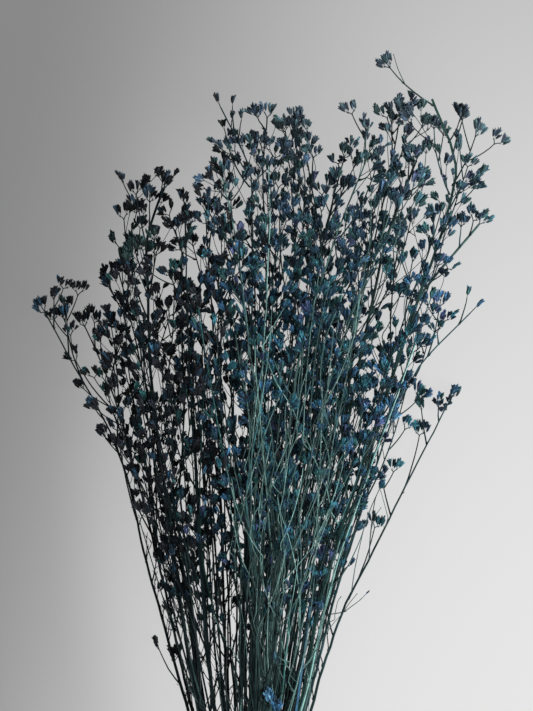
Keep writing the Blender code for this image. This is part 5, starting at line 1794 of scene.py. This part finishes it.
def square_to(heading, spin):
    """Two directions at right angles to a heading and to each other, turned about it."""
    side, _ = side_and_up(heading)
    up = np.cross(heading, side)
    return spoke(side, up, spin), math.cos(spin) * up - math.sin(spin) * side


def turned(points, heading, roll):
    """Points made along +Z, turned to a heading and rolled about it."""
    return points @ np.array([*square_to(heading, roll), heading])


def floret_dye(point, rng):
    """A dye for a floret at this point, greyer towards the tips, where less of it took."""
    dye = drawn_dye(point, rng)
    share = FADE * np.clip((point[1] - FADE_Y[0]) / (FADE_Y[1] - FADE_Y[0]), 0, 1)
    return lerp(np.array(dye), np.full(3, FADED_SHADE * np.mean(dye)), share)


def drawn_dye(point, rng):
    """A dye drawn for a point: almost black on the left, partly as painted shade, and many blues on the
    right.
    """
    if near_patch(point, BLUE_PATCHES) and rng.random() < PATCH_SHARE:
        return rng.choice(PATCH_BLUES)
    if near_patch(point, GREEN_PATCHES) and rng.random() < PATCH_SHARE:
        return MOSS_DYE
    # Towards the left the near-black dyes are partly painted shade.
    share = np.clip((point[0] - DYE_AND_SHADE_X[0]) / (DYE_AND_SHADE_X[1] - DYE_AND_SHADE_X[0]) + rng.gauss(0, DYE_MIXING), 0, 1)
    weights = RIGHT_WEIGHTS if rng.random() < share else LEFT_WEIGHTS
    return rng.choices(list(weights), list(weights.values()))[0]


class PaintedShadeMap:
    """How high the bunch stands at each place across it, so that painted shade can darken what lies deep in
    it.
    """

    def __init__(self, growth):
        n = growth.count
        self.low = growth.lows[:n, :2].min(0) - PAINTED_SHADE_CELL
        size = ((growth.highs[:n, :2].max(0) - self.low) / PAINTED_SHADE_CELL).astype(int) + 2
        self.tops = np.zeros(size)
        middles = (growth.starts[:n, :2] + growth.ends[:n, :2]) / 2
        cells = ((middles - self.low) / PAINTED_SHADE_CELL).astype(int)
        np.maximum.at(self.tops, (cells[:, 0], cells[:, 1]), growth.highs[:n, 2])

    def shades(self, points):
        """How bright the painted shade makes the dye at each point, from the bottom of the bunch there to
        its top.
        """
        cells = ((points[:, :2] - self.low) / PAINTED_SHADE_CELL).astype(int)
        cells = np.clip(cells, 0, np.array(self.tops.shape) - 1)
        tops = np.maximum(self.tops[cells[:, 0], cells[:, 1]], STEM_PITCH)
        return lerp(*PAINTED_DEPTH_SHADES, np.clip(points[:, 2] / tops, 0, 1) ** PAINTED_SHADE_POWER)[:, None]


def stalk_dye(name, grade, rng):
    """A stalk's dye by its spray and its kind. A front stalk's kind is a number: how pale it is."""
    dark, bright, pale = np.array(DARK_STALK), np.array(BRIGHT_STALK), np.array(PALE_STALK)
    if grade == "blue":
        return np.array(SKY_DYE) * BLUE_STALK_SHADE
    if isinstance(grade, float):
        return lerp(dark, pale, grade)
    if grade == "stem" and name in PALE_STEMS:
        return lerp(dark, pale, PALE_STEMS[name])
    shade = STALK_SHADES[name] * rng.uniform(*GRADE_SHADES[grade])
    dye = lerp(dark, bright, shade**SHADE_POWER) * rng.uniform(*STALK_RANGE)
    dye = dye * np.array([1, 1, rng.uniform(*STALK_BLUES)])
    if grade == "strand" and rng.random() < PALE_SHARE and STALK_SHADES[name] > PALE_FROM_SHADE:
        return pale * rng.uniform(*PALE_RANGE)
    return dye


def add_stalk(skin, name, line, radii, sides, grade, rng):
    """One stalk as a tube. A main stem has ribs and a pale cut end; any other has a scale at its foot."""
    dye, is_stem = stalk_dye(name, grade, rng), grade == "stem"
    points = tube_points(line, radii, sides, STEM_RIB if is_stem else 0.0)
    dyes, patch = [], 1.0
    for point in line:
        patch = np.clip(patch + rng.gauss(0, PATCHINESS), *PATCH_SHADES)
        blue = is_stem and near_patch(point, BLUE_STALKS)
        dyes.append(np.array(SKY_DYE) if blue else dye * patch)
    streaks = np.array([rng.uniform(*STREAKS) for _ in range(sides)])
    streaked = (np.array(dyes)[:, None, :] * streaks[None, :, None]).reshape(-1, 3)
    # Painted shade darkens the stalk's dyes deep in the bunch.
    skin.add(points, tube_faces(len(line), sides), streaked * skin.shade_map.shades(points))
    if is_stem:
        end = np.array([line[0] + (line[0] - line[1]) * CUT_OUT, line[0] + (line[1] - line[0]) * CUT_IN])
        skin.add_tube(end, CUT_SHARE * radii[0], sides, np.array(CUT_END))
    else:
        add_scale(skin, line, radii[0], dye * SCALE_SHADE, rng)


def add_scale(skin, line, radius, dye, rng):
    """The small pointed scale that sits where a side stalk leaves."""
    along = unit(line[1] - line[0])
    side, up = side_and_up(along)
    out = spoke(side, up, rng.uniform(0, 2 * math.pi))
    length = rng.uniform(*SCALE_LENGTHS) * MM
    root = line[0] + radius * 0.5 * out
    middle = root + SCALE_MIDDLE[0] * length * along + SCALE_MIDDLE[1] * length * out
    tip = root + length * along + SCALE_TIP_OUT * length * out
    half = SCALE_WIDTH * length * np.cross(along, out)
    corners = blade(root, middle, tip, half, SCALE_BACK * length * out)
    skin.add(corners, facing_out(corners, BLADE_FACES), dye)


def add_bud(skin, bud, neck, heading, scale, rng):
    """A tiny bud at its stalk's end."""
    dye = floret_dye(neck, rng)
    points, faces, shares = bud
    colours = shares @ np.array([dye, dye, dye, dye * BUD_TIP_SHADE])
    skin.add(neck + turned(points, heading, rng.uniform(0, BUD_ROLL)) * scale, faces, colours, FLORET_KIND)


def add_cluster(skin, shapes, neck, heading, scale, count, rng):
    """A cluster of florets on short stalks that opens from its neck."""
    dye = floret_dye(neck, rng)
    fan, through = square_to(heading, rng.uniform(0, 2 * math.pi))
    crowd = min(1, CROWDING * count)
    spread = math.radians(rng.uniform(*FAN_LEAN)) * crowd
    for k in range(count):
        place = 2 * (k + 0.5) / count - 1
        lean = place * spread + math.radians(rng.uniform(-FAN_JITTER, FAN_JITTER))
        tilt = math.radians(rng.uniform(-FAN_JITTER, FAN_JITTER)) * THROUGH_JITTER
        direction = unit(heading + math.tan(lean) * fan + math.tan(tilt) * through)
        rise = (1 - place**2) * rng.uniform(*HEAD_RISE) * scale
        shift = crowd * HEAD_HALF_WIDTH * (place * fan + rng.uniform(*HEAD_DEPTHS) * through)
        root = neck + rise * heading + shift * scale
        add_floret_stalk(skin, neck - FLORET_STALK_FROM * heading, root + FLORET_STALK_TO * direction, dye)
        own = dye if rng.random() < SAME_DYE_SHARE else floret_dye(neck, rng)
        own = own * rng.uniform(*FLORET_SHADES)
        add_floret(skin, rng.choice(shapes), root, direction, scale, own, rng)


def add_floret_stalk(skin, start, end, dye):
    """The tapered stalk between a cluster's neck and a floret."""
    foot = tube_points(np.array([start, end]), [FLORET_STALK_R] * 2, FINE_SIDES)[:FINE_SIDES]
    faces = [(2, 1, 0), (0, 1, 3), (1, 2, 3), (2, 0, 3)]
    skin.add(np.vstack([foot, end]), faces, dye * FLORET_STALK_SHADE + FLORET_STALK_PALENESS)


def add_floret(skin, shape, root, direction, scale, dye, rng):
    """One floret, with a paler rim and petals, darker bracts, a shade of its own at each point, and painted
    shade in its furrows and deep in the bunch.
    """
    points, faces, shares = shape
    size = scale * rng.uniform(*FLORET_SIZES)
    placed = root + turned(points, direction, rng.uniform(0, 2 * math.pi)) * size
    placed[:, 2] = np.maximum(placed[:, 2], LOWEST_POINT)
    rim = dye * rng.uniform(*RIM_SHADES) + np.array(RIM_PALENESS)
    petal = dye * PETAL_SHADE + np.array(PETAL_PALENESS)
    bract = dye * BRACT_SHADE + np.array(BRACT_PALENESS)
    colours = shares @ np.array([dye * FOOT_SHADE, rim, petal, bract])
    flecks = np.array([rng.uniform(*FLECKS) for _ in range(len(points))])[:, None]
    # Painted shade darkens the floret's dyes deep in the bunch.
    skin.add(placed, faces, colours * flecks * skin.shade_map.shades(placed), FLORET_KIND)


def add_group(skin, shapes, neck, heading, scale, rng):
    """A stalk's end that forks into two or three compact heads, in the room that a spikelet takes."""
    fan, _ = square_to(heading, rng.uniform(0, 2 * math.pi))
    slender = near_patch(neck, SLENDER_PLACES)
    for place in SLENDER_GROUP if slender else rng.choice(GROUP_PLACES):
        rise = rng.uniform(*GROUP_RISE) * (1 if abs(place) == 1 else MIDDLE_RISE)
        foot = neck + scale * (rise * heading + place * GROUP_HALF_WIDTH * fan)
        leaning = unit(heading + (GROUP_LEAN * place + rng.uniform(*GROUP_LEANS)) * fan)
        control = lerp(neck, foot, 0.5) - FORK_BOW * (foot - neck) @ fan * fan
        fork = bezier(neck - FORK_FROM * heading, control, foot, FINE_POINTS)
        skin.add_tube(fork, FORK_R, STRAND_SIDES, np.array(DARK_STALK) * FORK_SHADE)
        count = SLENDER_COUNT if slender else rng.choice(GROUP_COUNTS)
        add_cluster(skin, shapes, foot, leaning, GROUP_SCALE * scale, count, rng)


def build_spray(spray, shapes, bud, shade_map, materials):
    """One spray as one piece that stands for its CAD node."""
    rng = random.Random(SEED * LOOK_SEEDS + spray.stem.number)
    skin = Skin(shade_map)
    for line, radii, sides, grade in spray.stalks:
        add_stalk(skin, spray.name, line, radii, sides, grade, rng)
    for neck, heading, scale, count in spray.clusters:
        if count == GROUP:
            add_group(skin, shapes, neck, heading, scale, rng)
        elif count:
            add_cluster(skin, shapes, neck, heading, scale, count, rng)
        else:
            add_bud(skin, bud, neck, heading, scale, rng)
    piece = skin.piece(spray.name.replace("stem_", "spray_"), materials)
    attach(piece, "root")
    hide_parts(spray.name)
    return piece


def twine_path():
    """The line that the twine follows round the stems, turn by turn."""
    total = TWINE_TURNS * TURN_STEPS
    reach = TIE_R - TWINE_T / 2
    points = []
    for k in range(total + 1):
        turn = 2 * math.pi * k / TURN_STEPS
        y = (k / total - 0.5) * (TWINE_TURNS - 1) * TURN_PITCH
        points.append((reach * math.sin(turn), y, TIE_R + reach * math.cos(turn)))
    return np.array(points)


def ply_line(path, phase, out):
    """One ply of a twisted twine, which winds round the twine's path."""
    lengths = np.append(0, np.cumsum(np.linalg.norm(np.diff(path, axis=0), axis=1)))
    points = []
    for point, length, (side, up) in zip(path, lengths, sides_along(path)):
        points.append(point + out * spoke(side, up, phase + 2 * math.pi * length / PLY_PITCH))
    return np.array(points)


def add_twine(skin, path, radius, rng):
    """Twisted plies along a path, with loose fibres."""
    plies = [ply_line(path, 2 * math.pi * k / PLIES, PLY_OUT * radius) for k in range(PLIES)]
    for line in plies:
        skin.add_tube(line, PLY_R * radius, PLY_SIDES, np.array(TWINE_COLOUR) * rng.uniform(*PLY_SHADES))
    for _ in range(int(len(path) * FIBRES_PER_POINT)):
        k = rng.randrange(2, len(path) - 2)
        start = plies[rng.randrange(PLIES)][k]
        along = unit(path[k + 1] - path[k])
        away = unit(start - path[k] + NOT_ZERO)
        length = rng.uniform(*FIBRE_LENGTHS) * MM
        end = start + length * unit(away + rng.uniform(-FIBRE_LEAN, FIBRE_LEAN) * along)
        if end[2] >= FIBRE_LOWEST:
            curve = bezier(start, start + FIBRE_RISE * away, end, FINE_POINTS)
            skin.add_tube(curve, FIBRE_R, FINE_SIDES, np.array(TWINE_COLOUR) * FIBRE_SHADE)


def knot_loop(side, top):
    """One loop of the knot over the turns: a ring that stands off to its side and leans."""
    points = []
    for k in range(LOOP_STEPS + 1):
        turn = 2 * math.pi * k / LOOP_STEPS
        x = side * LOOP_AT[0] + LOOP_REACH[0] * math.cos(turn)
        y = side * LOOP_AT[1] + LOOP_REACH[1] * math.sin(turn)
        points.append((x, y, top + LOOP_AT[2] + LOOP_REACH[2] * math.sin(turn + side * LOOP_LEAN)))
    return np.array(points)


def build_twine(material):
    """The turns of twine, its knot and its two tails, as one piece that stands for its CAD node."""
    rng = random.Random(SEED)
    skin = Skin()
    radius = TURN_PITCH / 2
    add_twine(skin, twine_path(), radius, rng)
    top = 2 * TIE_R
    for side in (-1, 1):
        tail = np.array([(side * x * MM, side * y * MM, top + z * MM) for x, y, z in TAIL_POINTS])
        add_twine(skin, smooth_line(tail, TAIL_STEPS), KNOT_THICKNESS * radius, rng)
        add_twine(skin, knot_loop(side, top), KNOT_THICKNESS * radius, rng)
    piece = skin.piece("twine_turns", [material])
    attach(piece, "root")
    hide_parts("twine_tie")
    return piece


def node(tree, kind, output, inputs, **settings):
    """The output of a new node. Each of its inputs is a value or another node's output."""
    made = tree.nodes.new("ShaderNode" + kind)
    for key, value in settings.items():
        setattr(made, key, value)
    feed(tree, made, inputs)
    return made.outputs[output]


def feed(tree, made, inputs):
    """Sets a node's inputs, or links them to other nodes' outputs."""
    for key, value in inputs.items():
        if isinstance(value, bpy.types.NodeSocket):
            tree.links.new(value, made.inputs[key])
        else:
            made.inputs[key].default_value = value


def maths(tree, operation, *values):
    """The output of a node that does arithmetic with numbers."""
    return node(tree, "Math", "Value", dict(enumerate(values)), operation=operation)


def vector_maths(tree, operation, *values):
    """The output of a node that does arithmetic with vectors."""
    return node(tree, "VectorMath", "Vector", dict(enumerate(values)), operation=operation)


def ease(tree, value, start, end, low, high, kind="SMOOTHSTEP"):
    """The output of a node that leads a value's range over into another range."""
    limits = {"Value": value, "From Min": start, "From Max": end, "To Min": low, "To Max": high}
    return node(tree, "MapRange", "Result", limits, interpolation_type=kind)


def new_material(name):
    """A new material, its node tree and its shader."""
    material = bpy.data.materials.new(name)
    material.use_nodes = True
    return material, material.node_tree, material.node_tree.nodes["Principled BSDF"]


def dyed_material(name, grain, darkest, lightest, bump, roughness, sheen):
    """A finish whose colour is the dye that each point took, with any painted shade in it, broken up by a
    fine grain.
    """
    material, tree, shader = new_material(name)
    place = node(tree, "TexCoord", "Object", {})
    fine = node(tree, "TexNoise", "Fac", {"Vector": place, "Scale": grain, "Detail": GRAIN_DETAIL})
    coarse = node(tree, "TexNoise", "Fac", {"Vector": place, "Scale": grain / COARSER})
    both = maths(tree, "MULTIPLY_ADD", fine, 0.5, maths(tree, "MULTIPLY", coarse, 0.5))
    shade = ease(tree, both, *GRAIN_RANGE, darkest, lightest, "LINEAR")
    dye = node(tree, "Attribute", "Color", {}, attribute_name="dye")
    shaded = node(tree, "Mix", "Result", {"Factor": 1, "A": dye, "B": shade},
                  data_type="RGBA", blend_type="MULTIPLY")
    relief = {"Strength": bump, "Distance": RELIEF_DEPTH, "Height": fine}
    feed(tree, shader, {
        "Base Color": shaded, "Normal": node(tree, "Bump", "Normal", relief), "Roughness": roughness,
        "Sheen Weight": sheen, "Specular IOR Level": SPECULAR,
    })
    return material


def floor_material():
    """A pale finish with painted light: it glows, is dimmer to the left and is brightest behind the bunch.
    """
    material, tree, shader = new_material("floor_paint")
    place = node(tree, "TexCoord", "Object", {})
    offset = vector_maths(tree, "SUBTRACT", place, (*PALE_POINT, 0))
    leftward = vector_maths(tree, "MINIMUM", offset, (0, FLOOR_REACH * 2, 0))
    squeezed = vector_maths(tree, "MULTIPLY", leftward, (1, PALE_STRETCH, 1))
    distance = node(tree, "VectorMath", "Value", {0: squeezed}, operation="LENGTH")
    painted_falloff = ease(tree, distance, PALE_FROM, PALE_TO, 0, 1)
    kept = ease(tree, distance, BACK_FROM, BACK_TO, 1, BACK_SHARE)
    mix = {"Factor": maths(tree, "MULTIPLY", painted_falloff, kept), "A": (*FLOOR_PALE, 1), "B": (*FLOOR_DIM, 1)}
    tone = node(tree, "Mix", "Result", mix, data_type="RGBA")
    centred = vector_maths(tree, "SUBTRACT", place, (*PAINTED_POOL_CENTRE, 0))
    rounded = vector_maths(tree, "DIVIDE", centred, (*PAINTED_POOL_REACH, 1))
    reach = node(tree, "VectorMath", "Value", {0: rounded}, operation="LENGTH")
    gain = ease(tree, reach, PAINTED_POOL_FROM, 1, PAINTED_POOL_GAIN, 1)
    painted_light = node(tree, "VectorMath", "Vector", {0: tone, "Scale": gain}, operation="SCALE")
    paint = node(tree, "VectorMath", "Vector", {0: painted_light, "Scale": FLOOR_PAINT}, operation="SCALE")
    # The emission is painted light: the floor glows though it is no lamp.
    feed(tree, shader, {
        "Base Color": paint, "Emission Color": painted_light, "Emission Strength": FLOOR_PAINTED_GLOW,
        "Roughness": FLOOR_ROUGHNESS, "Specular IOR Level": SPECULAR,
    })
    return material


def build_floor():
    """A pale floor under the bunch, with painted light that glows and falls off to the left."""
    mesh = bpy.data.meshes.new("floor")
    corners = [(-1, -1), (1, -1), (1, 1), (-1, 1)]
    mesh.from_pydata([(x * FLOOR_REACH, y * FLOOR_REACH, 0) for x, y in corners], [], [(0, 1, 2, 3)])
    mesh.materials.append(floor_material())
    floor = in_scene("floor", mesh)


def light_scene():
    """The soft lights, and a dim surround."""
    for name, place, aim, size, power in LIGHTS:
        light = bpy.data.lights.new(name, "AREA")
        light.shape = "SQUARE"
        light.size = size
        light.energy = power
        lamp = in_scene(name, light)
        lamp.location = place
        lamp.rotation_euler = (Vector(aim) - Vector(place)).to_track_quat("-Z", "Y").to_euler()
        lamp.visible_camera = False
    world = bpy.data.worlds.new("surround")
    world.use_nodes = True
    surround = {"Color": (*SURROUND, 1), "Strength": SURROUND_STRENGTH}
    feed(world.node_tree, world.node_tree.nodes["Background"], surround)
    bpy.context.scene.world = world
    bpy.context.scene.view_settings.view_transform = "Standard"


def place_camera():
    """The photograph's camera, straight above the eye's point."""
    camera = bpy.data.cameras.new("camera")
    camera.sensor_width = SENSOR
    camera.lens = SENSOR * EYE_DISTANCE / PHOTO_HEIGHT
    thing = in_scene("camera", camera)
    thing.location = (EYE_X, EYE_Y, TRACED_Z + EYE_DISTANCE)
    bpy.context.scene.camera = thing


def grow_in_front(sprays):
    """The stalks that show in front, before the twigs that keep clear of them."""
    front = FrontStalks(sprays)
    for given in FRONT_STALKS:
        front.grow(*given)
    for count, *kind in CROSSING_STALKS:
        for _ in range(count):
            front.grow_crossing(*kind)
    for given in CLUMP_STALKS:
        front.grow(*given)
    for spray in sprays:
        spray.front_points = np.array(front.points)


def add_twigs_to(sprays):
    """Fine twigs on every spray, at every other place first and then at those between."""
    for level in (0, 1):
        for spray in sprays:
            spray.add_twigs(level)


def grow_sprays():
    """The finer growth of every stem, each kind over all of them before the next."""
    stems = grow_bunch()
    sprays = [Spray(stem) for stem in stems]
    for spray in sprays:
        spray.front = [stem for stem in stems if stem.name in FRONT_STEMS]
        spray.take_over()
    for spray in sprays:
        spray.add_strands()
    grow_in_front(sprays)
    add_twigs_to(sprays)
    for spray in sprays:
        spray.carriers = spray.young
    add_twigs_to(sprays)
    for spray in sprays:
        spray.add_twiglets()
    return sprays


def dress():
    """Every finer piece of the bunch."""
    sprays = grow_sprays()
    shade_map = PaintedShadeMap(sprays[0].growth)
    rng = random.Random(SEED)
    shapes = [Floret(rng, openness).shape() for openness in KINDS for _ in range(KIND_VARIANTS)]
    slots = {part["node"]: part["material_slot"] for part in frame["record"]["subparts"]}
    bud, finishes = bud_shape(), {}
    for slot in ("navy_spray", "teal_spray"):
        stalk = dyed_material(slot + "_stalk", *STALK_FINISH)
        finishes[slot] = [stalk, dyed_material(slot + "_floret", *FLORET_FINISH)]
    for spray in sprays:
        slot = slots[spray.name]
        piece = build_spray(spray, shapes, bud, shade_map, finishes[slot])
    build_twine(dyed_material("twine_fibre", *TWINE_FINISH))


dress()
build_floor()
light_scene()
place_camera()
bpy.context.view_layer.update()
